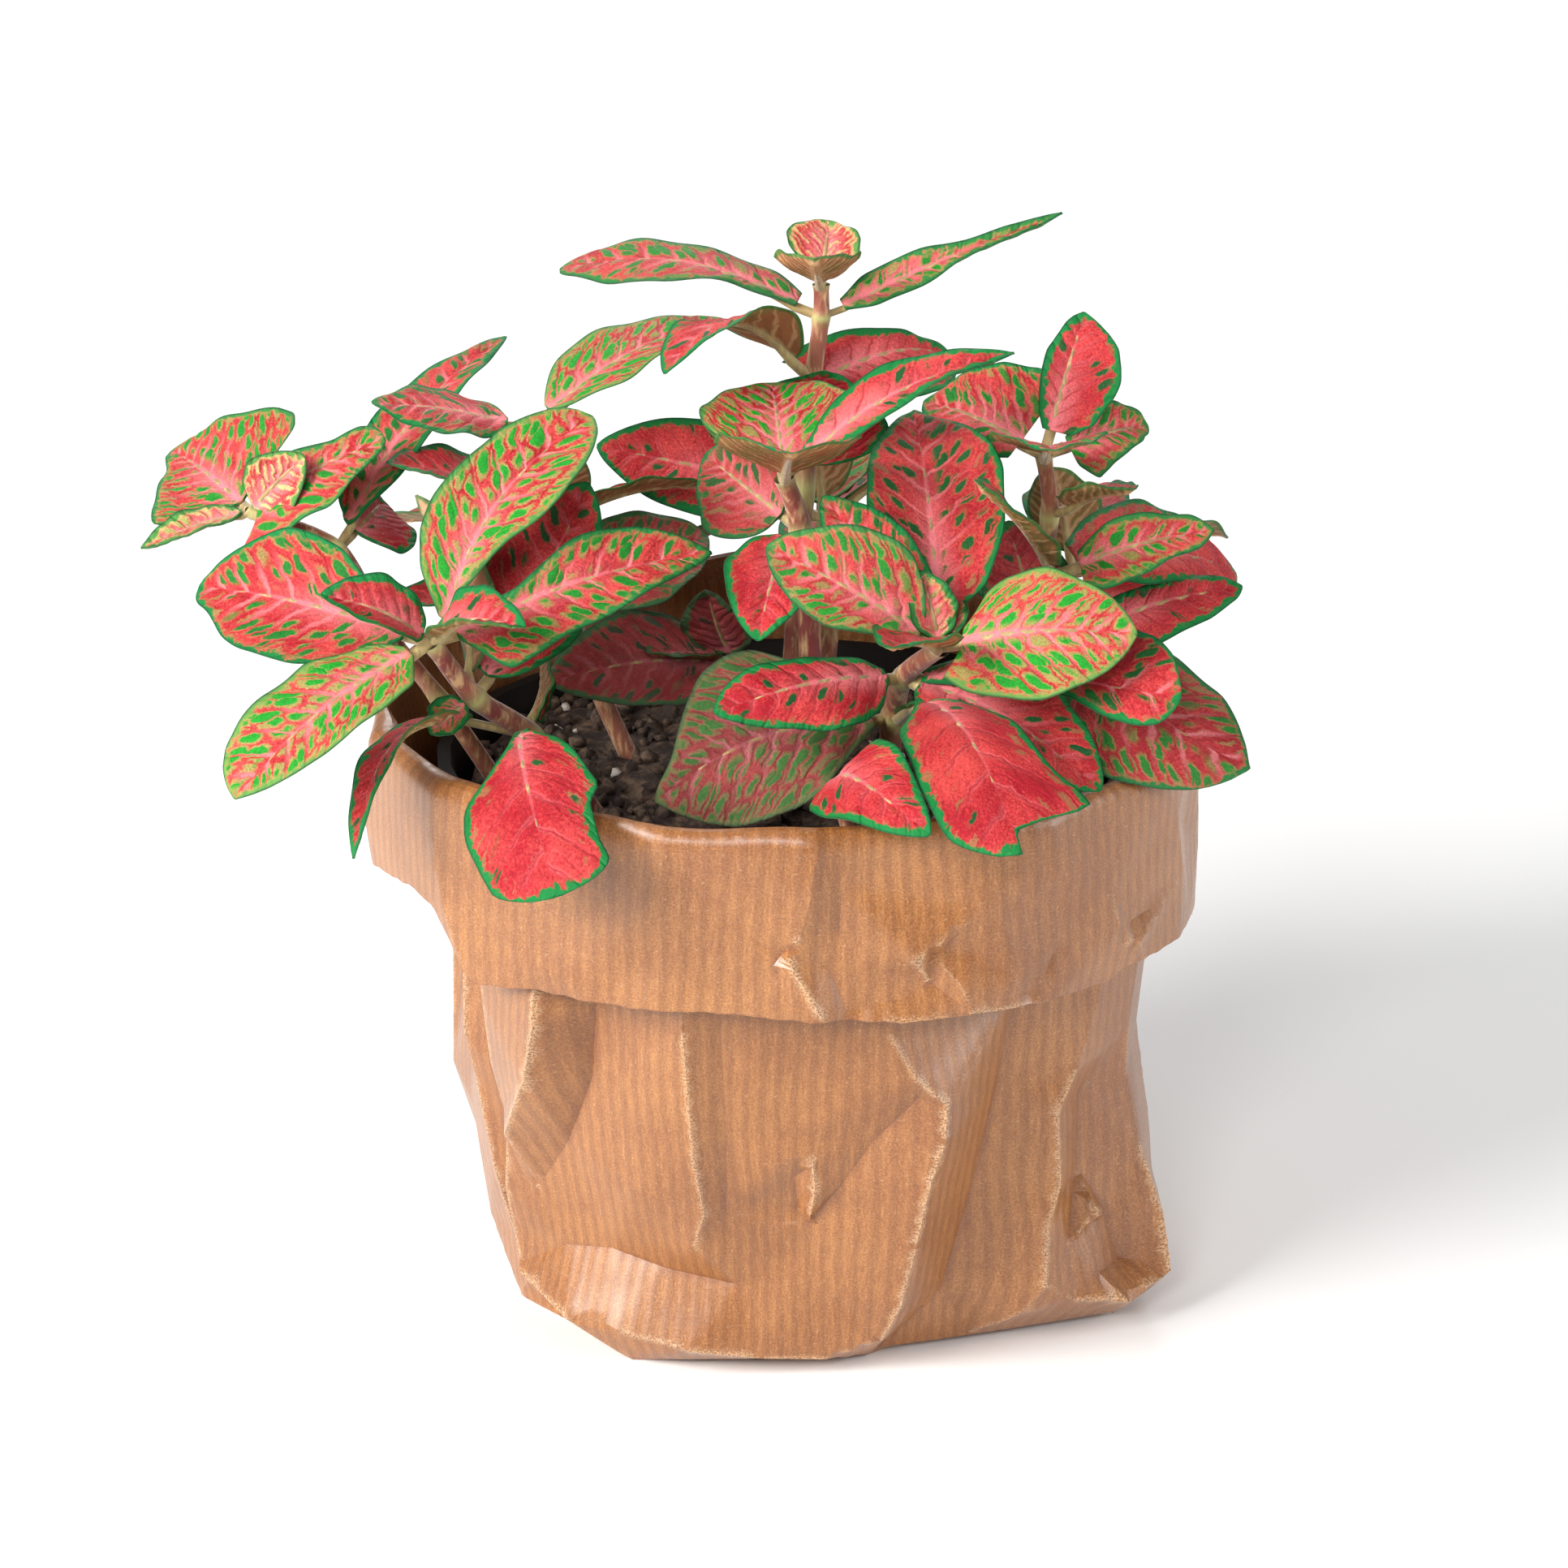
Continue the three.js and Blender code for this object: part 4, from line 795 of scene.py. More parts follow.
def tube(line, radii, sides):
    across, points = np.array([1.0, 0.2, 0.1]), []
    angle = (np.arange(sides) * 2 * math.pi / sides)[:, None]
    for centre, along, radius in zip(line, unit(np.gradient(line, axis=0)), radii):
        across = unit(across - across @ along * along)
        points.append(centre + radius * (np.cos(angle) * across + np.sin(angle) * np.cross(along, across)))
    return np.concatenate(points), ring_faces(len(line), sides)


def rounded_line(joints, steps):
    """A centripetal curve through the joints. It mixes four joints at a time, two by two, down to one point."""
    p = np.array(joints, float)
    p = np.vstack([2 * p[0] - p[1], p, 2 * p[-1] - p[-2]])
    line = []
    for i in range(1, len(p) - 2):
        four = p[i - 1 : i + 3]
        at = [0.0]
        for step in np.diff(four, axis=0):
            at.append(at[-1] + np.linalg.norm(step) ** 0.5)
        for t in np.linspace(at[1], at[2], steps, endpoint=False):
            mixed = four
            for spans in (((0, 1), (1, 2), (2, 3)), ((0, 2), (1, 3)), ((1, 2),)):
                mixed = [
                    (at[b] - t) / (at[b] - at[a]) * before + (t - at[a]) / (at[b] - at[a]) * after
                    for (a, b), before, after in zip(spans, mixed, mixed[1:])
                ]
            line.append(mixed[0])
    return np.array(line + [p[-2]])


STEM_STEPS, STEM_SIDES = 9, 14
STALK_STEPS, STALK_SIDES = 5, 8
RIB_ROWS = int(BLADE_ROWS * 0.86)


def stem_tube(shoot):
    line = rounded_line(shoot.joints, STEM_STEPS)
    place = np.arange(len(line)) / STEM_STEPS
    near = np.abs(place - np.round(place))
    swell = 1 + 0.22 * np.exp(-((near / 0.12) ** 2)) * (place > 0.3)
    radii = shoot.thick / 2 * (1 - 0.3 * place / place[-1]) * swell
    pale = np.exp(-((near / 0.1) ** 2)) * (place > 0.3)
    return *tube(line, radii, STEM_SIDES), {"pale": np.repeat(pale, STEM_SIDES)}


def stalk_tube(joint, leaf, middle, up):
    thick = min(0.75, 0.035 * leaf.wide + 0.25)
    size = np.linspace(thick, 0.12, RIB_ROWS)
    under = middle[:RIB_ROWS] - up[:RIB_ROWS] * np.maximum(0.2 + size, 0.5)[:, None]
    start = np.array(joint, float)
    stalk = [start + (under[0] - start) * s for s in np.linspace(0, 1, STALK_STEPS + 1)[:-1]]
    radii = np.concatenate([np.full(STALK_STEPS, thick), size])
    pale = np.concatenate([np.full(STALK_STEPS, 0.55), np.linspace(0.7, 0.3, RIB_ROWS)])
    return *tube(np.vstack([stalk, under]), radii, STALK_SIDES), {"pale": np.repeat(pale, STALK_SIDES)}


print("a rib runs under", RIB_ROWS, "of a blade's", BLADE_ROWS, "rows")

# %% [markdown]
# The stems' colour is streaked along their length, so the noise behind it is stretched upwards. A little sheen
# stands for the fine hairs, which catch light from the side.

# %% stem material
STEM_BROWN, STEM_RED = ink(150, 88, 66), ink(122, 48, 44)
STEM_TAN, STEM_GREEN = ink(198, 160, 116), ink(176, 178, 112)


def stem_material():
    made, t, shader = material("hairy_stem")
    place = t.place()
    stretched = t.node("ShaderNodeVectorMath", {"operation": "MULTIPLY"}, Vector=place)
    stretched.inputs[1].default_value = (1100.0, 1100.0, 260.0)
    streak = t.noise(stretched.outputs[0], 1.0, 3.0, 0.6)
    colour = t.layers(
        STEM_RED,
        (t.ramp(t.noise(place, 190.0, 2.0), 0.38, 0.62), STEM_BROWN),
        (t.ramp(streak, 0.45, 0.7), STEM_TAN),
        (t.times(t.value("pale"), 0.85), STEM_GREEN),
    )
    bump = t.bump(streak, 0.5, 0.0002)
    t.set(shader, Base_Color=colour, Roughness=0.62, Sheen_Weight=0.5, Sheen_Roughness=0.4, Normal=bump)
    return made


STEM = stem_material()
print("stem material:", len(STEM.node_tree.nodes), "nodes")

# %% [markdown]
# Now the shoots can grow. Each gives two pieces, its leaves and its stems with the stalks, and both stand for the
# same solid.

# %% build the shoots
for number, (name, shoot) in enumerate(SHOOTS.items()):
    blades, stems = [], [stem_tube(shoot)]
    for count, leaf in enumerate(shoot.leaves):
        joint = shoot.joints[leaf.at]
        blade, middle, up = leaf_blade(joint, leaf, number * 100 + count)
        blades.append(blade)
        stems.append(stalk_tube(joint, leaf, middle, up))
    mesh_piece("leaves_" + name, joined(blades), LEAF, "shoot_" + name)
    mesh_piece("stems_" + name, joined(stems), STEM, "shoot_" + name)
    print(name, "leaves", len(shoot.leaves))

# %% [markdown]
# ## The soil
# Potting soil is dark, crumbly peat with white grains of perlite in it. A lumpy disc gives the ground, and a
# few hundred small many-sided crumbs are pressed into it so that its surface is rough from any side.

# %% soil
SOIL_LEVEL, SOIL_OUT = 63.0, 39.0
SOIL_RINGS, SOIL_TURNS = 40, 96
CRUMBS, WHITE_EVERY = 900, 22
CRUMB_POINTS = [(0, 0, 1), (1, 0, 0), (0, 1, 0), (-1, 0, 0), (0, -1, 0), (0, 0, -1)]
CRUMB_POINTS += [(0.7, 0.7, 0.3), (-0.7, 0.7, -0.3), (-0.7, -0.7, 0.3), (0.7, -0.7, -0.3)]
CRUMB_ROUND = (1, 6, 2, 7, 3, 8, 4, 9, 1)
CRUMB_PAIRS = list(zip(CRUMB_ROUND, CRUMB_ROUND[1:]))
CRUMB_FACES = np.array([(0, a, b) for a, b in CRUMB_PAIRS] + [(5, b, a) for a, b in CRUMB_PAIRS])


def halved(quads):
    """Four-sided faces cut into triangles."""
    return np.concatenate([quads[:, :3], quads[:, [0, 2, 3]]])


def soil_height(x, y):
    waves = 0.5 * np.sin(x / 3.1 + 1.0) * np.cos(y / 3.7) + 0.4 * np.sin(x / 1.9 + y / 2.3)
    return SOIL_LEVEL + 0.9 * (waves + 0.25 * np.cos(x / 1.2 - y / 1.4))


def soil_bed(draw):
    out = np.linspace(0, SOIL_OUT, SOIL_RINGS)[:, None] + np.zeros(SOIL_TURNS)
    angle = np.linspace(0, 2 * math.pi, SOIL_TURNS, endpoint=False)
    x, y = out * np.cos(angle), out * np.sin(angle)
    z = soil_height(x, y) + draw.normal(0, 0.12, x.shape)
    z[-1] = SOIL_LEVEL - 3
    faces = halved(ring_faces(SOIL_RINGS, SOIL_TURNS)[:, [0, 3, 2, 1]])
    return np.stack([x, y, z], -1).reshape(-1, 3), faces, {"perlite": np.zeros(x.size)}


def crumb(white, draw):
    r, a = SOIL_OUT * math.sqrt(draw.uniform(0, 0.98)), draw.uniform(0, 2 * math.pi)
    size = draw.uniform(0.5, 1.0) if white else draw.uniform(0.4, 1.7)
    x, y = r * math.cos(a), r * math.sin(a)
    shape = np.array(CRUMB_POINTS, float) * draw.uniform(0.6, 1.15, (len(CRUMB_POINTS), 1)) * size
    shape = shape * draw.uniform(0.7, 1.2, 3)
    turn = np.linalg.qr(draw.normal(size=(3, 3)))[0]
    points = np.array([x, y, soil_height(x, y) + 0.25 * size]) + shape @ turn
    return points, CRUMB_FACES, {"perlite": np.full(len(points), float(white))}


def soil_material():
    made, t, shader = material("potting_soil")
    lump = t.noise(t.place(), 420.0, 4.0, 0.65)
    colour = t.mix(t.ramp(lump, 0.42, 0.72), ink(60, 50, 46), ink(126, 104, 86))
    colour = t.mix(t.value("perlite"), colour, ink(214, 206, 196))
    t.set(shader, Base_Color=colour, Roughness=0.9, Specular_IOR_Level=0.25, Normal=t.bump(lump, 0.8, 0.0006))
    return made


draw = np.random.default_rng(5)
parts = [soil_bed(draw)] + [crumb(count % WHITE_EVERY == 0, draw) for count in range(CRUMBS)]
mesh_piece("potting_soil", joined(parts), soil_material(), "soil")
print("soil:", CRUMBS, "crumbs,", len(range(0, CRUMBS, WHITE_EVERY)), "of them white")

# %% [markdown]
# ## The nursery pot
# The pot is a thin dark plastic cup that only shows as a rim inside the bag, and as a base if the bag were off.
# Its solid is already right, so it keeps that shape and gets a plain matte plastic.

# %% pot
pot_finish, t, shader = material("pot_plastic")
pot_colour = t.mix(t.noise(t.place(), 90.0, 2.0), ink(24, 21, 20), ink(36, 31, 29))
t.set(shader, Base_Color=pot_colour, Roughness=0.8, Specular_IOR_Level=0.2)
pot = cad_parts["nursery_pot"]
pot.data.materials.clear()
pot.data.materials.append(pot_finish)
print("pot:", len(pot.data.polygons), "faces, from its solid")

# %% [markdown]
# ## The paper bag
# The bag is one sheet of kraft paper: a flat base, a wall that leans out a little, a soft rim where the sheet
# turns over, and a wide cuff hanging outside the wall. Its plain form comes first: how far the wall stands from the
# middle at a few heights, each read every 30 degrees round the bag, and how far the cuff flares outside it. A place
# on the paper is given as on the unrolled sheet: `s` millimetres round from the front middle and `z` up.

# %% paper shape
UNROLL = 45.0
AROUND = 2 * math.pi * UNROLL
TOP, RIM, CUFF_EDGE = 70.0, 73.0, 49.5
CUFF_OFF = 2.4
PAPER_ROWS = {
    0: [38, 37, 34, 33, 34, 34, 33, 36, 36, 33, 35, 41],
    4: [44, 40, 37, 36, 37, 37, 35, 37, 38, 37, 39, 49],
    9: [47, 42, 39, 37, 38, 38, 36, 38, 38, 37, 40, 50],
    16: [47, 42, 40, 39, 40, 40, 38, 40, 40, 39, 42, 48],
    24: [45, 42, 41, 40, 41, 41, 39.5, 41.5, 42, 41, 43, 46],
    32: [45, 43, 42, 41, 42, 41.5, 39.5, 42, 44, 43, 44, 45],
    40: [45, 43, 42, 42, 43, 42, 40, 43, 45, 44, 45, 45],
    48: [45, 44, 43, 43, 44, 43, 41.5, 43.5, 46, 45, 46, 46],
    56: [46, 45, 44, 44, 45, 44.5, 43.5, 45, 47, 46, 47, 47],
    64: [47, 46, 45, 46, 46, 47, 47, 48, 48, 47, 48, 48],
    71: [48, 47, 46, 47, 48, 48, 48, 48, 48, 47, 49, 49],
}
CUFF_RISE = [-2, -2, 1, 1, 2, 4, 6, 7, 1, 0, 0, -1]
CUFF_FLARE = [-1, -0.5, 0, 0, 0, 0, -0.5, -0.5, 0, 0.5, 0.5, 0]
RIM_RISE = [0, 1, 2, 3, 2, 1, 0, 0, 0, 0, 0, 0]


def ring(values, s):
    """Twelve values, counted every 30 degrees from the right by the back, read at a place round the bag."""
    values = np.asarray(values, float)
    place = ((s / UNROLL - math.pi / 2) / (2 * math.pi) % 1) * 12
    first = np.floor(place).astype(int)
    share = place - first
    share = 0.5 * share + 0.5 * share * share * (3 - 2 * share)
    return values[first % 12] * (1 - share) + values[(first + 1) % 12] * share


def wall_out(s, z):
    heights = np.array(list(PAPER_ROWS), float)
    rows, here = np.array([ring(values, s) for values in PAPER_ROWS.values()]), np.arange(len(s))
    i = np.clip(np.searchsorted(heights, z, side="right") - 1, 0, len(heights) - 2)
    share = np.clip((z - heights[i]) / (heights[i + 1] - heights[i]), 0, 1)
    return rows[i, here] * (1 - share) + rows[i + 1, here] * share


def cuff_out(s, z):
    share = np.clip((RIM - z) / (RIM - CUFF_EDGE), 0, 1.2)
    return ring(PAPER_ROWS[71], s) + CUFF_OFF + (0.6 + ring(CUFF_FLARE, s)) * share


def round_bag(out, s, z):
    angle = s / UNROLL - math.pi / 2
    return np.stack([out * np.cos(angle), out * np.sin(angle), z + 0 * out], -1)


def wall_shape(s, z, height):
    """The wall's folds, held in under the cuff."""
    return round_bag(wall_out(s, z) + np.minimum(height, 0.4 + 6 * smooth(53, 47, z)), s, z)


def cuff_shape(s, z, height):
    """The cuff's folds, held off the wall under them."""
    return round_bag(cuff_out(s, z) + np.maximum(height, -0.8), s, z)


front = np.zeros(1)
print("front of the wall at half height:", round(wall_out(front, front + 36)[0], 1), "mm from the middle")

# %% [markdown]
# Stiff paper doesn't stretch, so when it is crushed it breaks into flat facets that meet in sharp folds. That is
# how it is built here: a few folds are drawn on the unrolled sheet as lines of points, each with the height it
# stands out by. The plane is cut into triangles between those points and some loose ones, and each triangle is
# set nearly flat in space. Near an edge between two triangles the paper is creased, the more the sharper they meet.

# %% crumpling
FACET_FLAT = 0.85  # how flat the facets are, 0 to 1
CREASE_WIDE = 0.45
SEAM = 45.0  # how far the folds are repeated past the ends of the unrolled sheet


def cross2(u, v):
    return u[..., 0] * v[..., 1] - u[..., 1] * v[..., 0]


def fold_net(lines, spacing, stray, low, high, draw):
    """The folds' points (s, z, height) with loose ones between them, and the pairs of points that a fold joins."""
    nodes, edges = [], []
    for line in lines:
        edges += [(len(nodes) + i, len(nodes) + i + 1) for i in range(len(line) - 1)]
        nodes += line
    count = round(AROUND / spacing)
    for row in np.arange(low, high + 0.1, (high - low) / max(1, round((high - low) / spacing))):
        for k in range(count):
            s = -AROUND / 2 + (k + 0.5) * AROUND / count + draw.uniform(-0.3, 0.3) * spacing
            z = row + draw.uniform(-0.3, 0.3) * spacing * (low + 1 < row < high - 1)
            if min((math.hypot(s - n[0], z - n[1]) for n in nodes), default=99) > spacing * 0.62:
                nodes.append((s, z, draw.uniform(-stray, stray)))
    for s, z, height in list(nodes):
        if s < -AROUND / 2 + SEAM:
            nodes.append((s + AROUND, z, height))
        if s > AROUND / 2 - SEAM:
            nodes.append((s - AROUND, z, height))
    return nodes, edges


def crumpled(lines, spacing, stray, low, high, shape, at, draw):
    """Sets the places `at` on a sheet broken by `lines`. `spacing` and `stray` are for its loose points.

    Returns the points in space and how strongly each is creased: above 0 on ridges, below in valleys.
    """
    nodes, edges = fold_net(lines, spacing, stray, low, high, draw)
    found = delaunay_2d_cdt([Vector(n[:2]) for n in nodes], edges, [], 0, 1e-3)
    where = np.array([tuple(v) for v in found[0]])
    heights = np.array([nodes[o[0]][2] if o else 0.0 for o in found[3]])
    triangles = np.array([f for f in found[2] if len(f) == 3])
    spots = shape(where[:, 0], where[:, 1], heights)
    first, second, third = (spots[triangles[:, k]] for k in range(3))
    normal = unit(np.cross(second - first, third - first))
    sides = [[tuple(sorted((tri[i], tri[(i + 1) % 3]))) for i in range(3)] for tri in triangles]
    folds = {}
    for f, pairs in enumerate(sides):
        for pair in pairs:
            folds.setdefault(pair, []).append(f)
    flat, height, crease = np.zeros((len(at), 3)), np.zeros(len(at)), np.zeros(len(at))
    for f, tri in enumerate(triangles):
        a, b, c = where[tri]
        box = (at >= where[tri].min(0) - 1e-6) & (at <= where[tri].max(0) + 1e-6)
        pick, area = np.nonzero(box.all(1))[0], cross2(b - a, c - a)
        if not len(pick) or abs(area) < 1e-9:
            continue
        # The three shares say how near a place is to each corner of its triangle.
        to_b, to_c = cross2(at[pick] - a, c - a) / area, cross2(b - a, at[pick] - a) / area
        inside = (to_b > -1e-6) & (to_c > -1e-6) & (to_b + to_c < 1 + 1e-6)
        pick, to_b, to_c = pick[inside], to_b[inside], to_c[inside]
        shares = np.stack([1 - to_b - to_c, to_b, to_c], 1)
        flat[pick], height[pick] = shares @ spots[tri], shares @ heights[tri]
        best = np.zeros(len(pick))
        for u, v in sides[f]:
            for other in (o for o in folds[(u, v)] if o != f):
                sharp = np.linalg.norm(np.cross(normal[f], normal[other]))
                towards = spots[triangles[other]].mean(0) - spots[tri].mean(0)
                outwards = np.sign(normal[f] @ (spots[u] * (1, 1, 0)))
                sign = -1.0 if towards @ normal[f] * outwards > 0 else 1.0
                d = where[v] - where[u]
                gap = np.abs(cross2(at[pick] - where[u], d)) / np.linalg.norm(d)
                mark = sharp * np.exp(-((gap / CREASE_WIDE) ** 2))
                best = np.where(mark > np.abs(best), sign * mark, best)
        crease[pick] = best
    return shape(*at.T, height) * (1 - FACET_FLAT) + flat * FACET_FLAT, crease


print("crumpling ready, with facets", FACET_FLAT, "flat")

# %% [markdown]
# The folds of the wall. The strongest ones are the two front corners, the long ridge right of the middle that
# ends in the base, the bright facet at the top left, and the kink near the bottom where the wall flares and
# catches the light from above.

# %% wall folds
WALL_LINES = [
    [(-40.2, 58, 0.2), (-40.2, 50, 0.8), (-40.2, 44, 0.9), (-39.9, 36, 0.9), (-38.5, 30.5, 0.8), (-38.8, 26, 0.8),
     (-41.5, 18.5, 0.8), (-42.5, 12, 0.8), (-41.5, 8, 1.2)],
    [(-28.1, 58, 1.2), (-28.1, 48, 2), (-27.9, 45.6, 2.3), (-29.8, 38.5, 2.4), (-36.2, 28.1, 1.8)],
    [(-23, 58, -0.5), (-23, 48, -0.8), (-24.5, 38, -0.8), (-29.5, 28, -0.5), (-36, 20, 0)],
    [(-15.5, 58, 0.1), (-15.5, 48, 0.1), (-16.5, 36, 0.2), (-18.5, 24, 0.4)],
    [(-11.2, 58, 0.7), (-11.2, 47.8, 0.9), (-10.6, 31, 1), (-9.9, 22.3, 0.9), (-11.7, 17.3, 0.6)],
    [(-7, 58, 0.2), (-7.2, 46, 0), (-7, 33, -0.1), (-7.5, 22, 0)],
    [(-2, 58, 0.4), (-3, 46, 0.3), (-3.8, 37.3, 0.1), (0.8, 33, 0)],
    [(0.6, 30.5, 0.4), (1.5, 26, -0.3), (2, 22.4, -0.5)],
    [(3.4, 31, 0.3), (3.8, 26, 0.6), (3.4, 21.6, 0.3)],
    [(15.2, 38.6, 1.2), (10.8, 32.5, 0.3), (7, 25.8, 0), (2.6, 20.4, 0), (2.4, 16.8, 0)],
    [(11.4, 58, 0.5), (11.4, 47.5, 1), (14.3, 41.7, 1.6), (17.8, 37.8, 2.1), (17.6, 33.2, 2.4), (16.2, 27.4, 2.4),
     (15.4, 19.1, 2.2), (14.4, 10, 2.1), (13, 5, 1.4), (12.6, 0, 0.6)],
    [(28.5, 58, -0.4), (29, 48, -0.9), (28.5, 36, -1.2), (26, 22, -1.3), (23, 9, -0.8)],
    [(43.5, 58, 0.3), (41.4, 49, 0.6), (40.7, 44.5, 0.8), (37.6, 36.9, 1), (34.8, 31.4, 0.9), (35.2, 22, 1),
     (33.6, 17.4, 1), (33.4, 9.4, 1.2), (31.4, 5.2, 0.8), (28.4, 1.6, 0.2)],
    [(42, 31, -0.6), (41, 21, -0.8), (38, 13, -0.3)],
    [(50, 58, 0.6), (49.5, 48, 0.8), (48.5, 38.2, 0.9), (49.5, 31.5, 0.6), (55, 32.2, 0), (62, 33, -0.4)],
    [(41.3, 16.4, 0.6), (44.8, 15, -1), (46.6, 8, -1.2), (40.6, 8.2, 0)],
    [(49.6, 22, 1), (50.5, 13, 1.3), (50, 6, 1.8)],
    [(-52, 58, 0), (-51, 44, -0.2), (-50, 36, 0.4), (-50, 30, 0), (-48, 18, 0), (-47.5, 9, 0)],
    [(-45.2, 56, -1.4), (-43.8, 48, -2.2), (-42.6, 38, -2.2), (-42.4, 30, -1.2), (-45, 18, -1), (-45.6, 11, -1.4)],
    [(-58, 58, -0.6), (-59, 44, -0.9), (-60, 34, -0.6), (-60, 22, -0.2), (-57, 8, 0.6)],
    [(-66, 71, 0.6), (-62, 62, -0.4)],
    [(-60, 71, -0.5), (-58.5, 61, 0.4)],
    [(-54, 71, 0.6), (-55, 62, -0.4)],
    # The kink near the bottom, where the wall flares.
    [(-41.4, 7.6, 1.3), (-33, 12.4, 0.1), (-25.2, 13.6, -0.4), (-16.9, 12.4, -0.3), (-5.9, 11.4, 0.2),
     (2.2, 13, 0.5)],
    [(-37, 8.2, 1.3), (-30, 6.6, 1.9), (-22, 5, 2.1), (-12, 3.6, 2.1), (-3, 2.6, 2), (5.7, 2.2, 1.9)],
    [(-40.6, 6.9, 1.6), (-29.8, 4.8, 2.4), (-21.8, 0, 1.8)],
    [(-33.8, 2.6, -0.6), (-30.2, 0, 0.2)],
    [(-47.8, 0, 0.6), (-44.5, 3.5, 0.4)],
    [(38, 6, 0.4), (43.5, 4.6, 1.4), (46.6, 0.6, 2.4), (52, 3, 1.4)],
    # The back and the sides, out of the camera's sight.
    [(74, 64, 0.4), (74, 46, -1.8), (70, 28, -2.4), (66, 8, -1)],
    [(86, 60, 0.4), (88, 44, 1.8), (92, 26, 2.4), (88, 6, 1.2)],
    [(104, 62, 0.2), (107, 40, -1.6), (103, 20, -1.8)],
    [(118, 60, 0.3), (118, 42, 1.2), (121, 24, 2), (117, 8, 1)],
    [(-70, 62, 0), (-76, 46, 0.2), (-70, 24, 1), (-74, 6, 0.6)],
    [(-90, 60, 0.2), (-96, 44, -1.8), (-92, 26, -2.2), (-98, 6, -1)],
    [(-112, 62, 0.4), (-110, 40, 1.4), (-112, 20, 2), (-108, 6, 0.8)],
    [(-128, 60, 0), (-130, 40, -1.6), (-126, 22, -1.8), (-130, 8, -0.6)],
]
print(len(WALL_LINES), "folds in the wall")

# %% [markdown]
# The folds of the cuff: soft upright waves, the corner on the left where it bulges, and small kinks along its cut
# edge. The edge is uneven too, and at the back it hangs higher. `EDGE_POINTS` are its places in front.

# %% cuff folds
CUFF_LINES = [
    [(-46.5, 73, 0.2), (-46, 66, 0.4), (-44.5, 58, 0.4)],
    [(-40.5, 73, 0.8), (-40.2, 66, 0.9), (-38.6, 58, 1), (-36.5, 52, 0.6)],
    [(-30, 73, 0.4), (-32, 64, 0.2), (-33, 56, 0.2), (-30.5, 50, 0)],
    [(-27.5, 53.2, 0.2), (-23.5, 53.8, 0.3), (-21.5, 52.4, 0.1)],
    [(-27, 51, -0.3), (-23, 51.2, -0.3), (-20.5, 50.4, -0.1)],
    [(3.4, 73, 0.4), (2.6, 66, 0.8), (1.5, 61, 0.6), (-1, 57.5, 0.1)],
    [(6, 66, -0.4), (5.5, 61, -0.5), (7.5, 57.5, -0.4)],
    [(-12, 73, 0.1), (-13.5, 63, 0.5), (-11.5, 58, 0.1)],
    [(19, 73, 0), (20.5, 63, 0.4), (19, 58, 0)],
    [(-6, 62, 0), (0.4, 58.5, 0.8), (3.5, 52, 0.8), (4.4, 49.6, 0.5)],
    [(4.2, 57.5, -0.4), (6.5, 51, -0.4)],
    [(13, 58, 0.6), (15, 54.5, -0.4), (18.5, 51, 0.6)],
    [(15, 58, -0.3), (17.5, 54.5, 0.6)],
    [(23.5, 53.5, 0.6), (25, 51.5, 0), (26.5, 50, 0.4)],
    [(28, 71.5, 0.5), (29, 66, 0.6), (33, 61, 0.2)],
    [(36, 61, 0.3), (36.6, 57, 0.7), (37.5, 54, 0.4)],
    [(38.8, 55.5, 0.2), (40.2, 53.6, 0.8), (41.8, 51, 0.1)],
    [(43.5, 73, 0.3), (46, 70, 0.4), (49, 66, 0.3), (51, 58, 0.3)],
    [(56, 73, 0.4), (55, 62, -0.6), (57, 50, 0)],
    [(-58, 73, 0.6), (-60, 60, 0.8)],
    [(-80, 73, 0), (-78, 62, -0.6)],
    [(92, 73, 0.4), (90, 60, 1.2), (93, 48, 0.4)],
    [(124, 73, 0.2), (121, 60, -0.8), (125, 50, 0.2)],
]
EDGE_POINTS = [
    (-62, 55), (-52, 56.5), (-46, 57.6), (-41, 57), (-38, 53.6), (-36.5, 50.8), (-35, 49.5), (-31, 50.2), (-27, 51),
    (-20, 51.2), (-14, 51.2), (-6, 51.4), (3.5, 51), (12, 50.2), (20, 50.6), (30, 50.2), (36.5, 49.4), (39, 50.4),
    (43, 50.2), (52, 49.6), (60, 49),
]
print(len(CUFF_LINES), "folds in the cuff")

# %% [markdown]
# The sheet's points lie thick along the folds and thinner between them, so each fold falls on the edges of
# triangles and stays sharp. The first two rows of points are the sheet's lower and upper edge.

# %% fine net
def spread(groups):
    """Points from several groups, each kept only where it is far enough from those kept before it."""
    kept, cells = [], {}
    for points, apart in groups:
        for p in points:
            i, j = int(p[0] // 1), int(p[1] // 1)
            near = (q for a in (i - 1, i, i + 1) for b in (j - 1, j, j + 1) for q in cells.get((a, b), ()))
            if all(math.hypot(p[0] - q[0], p[1] - q[1]) >= apart for q in near):
                kept.append((float(p[0]), float(p[1])))
                cells.setdefault((i, j), []).append(p)
    return kept


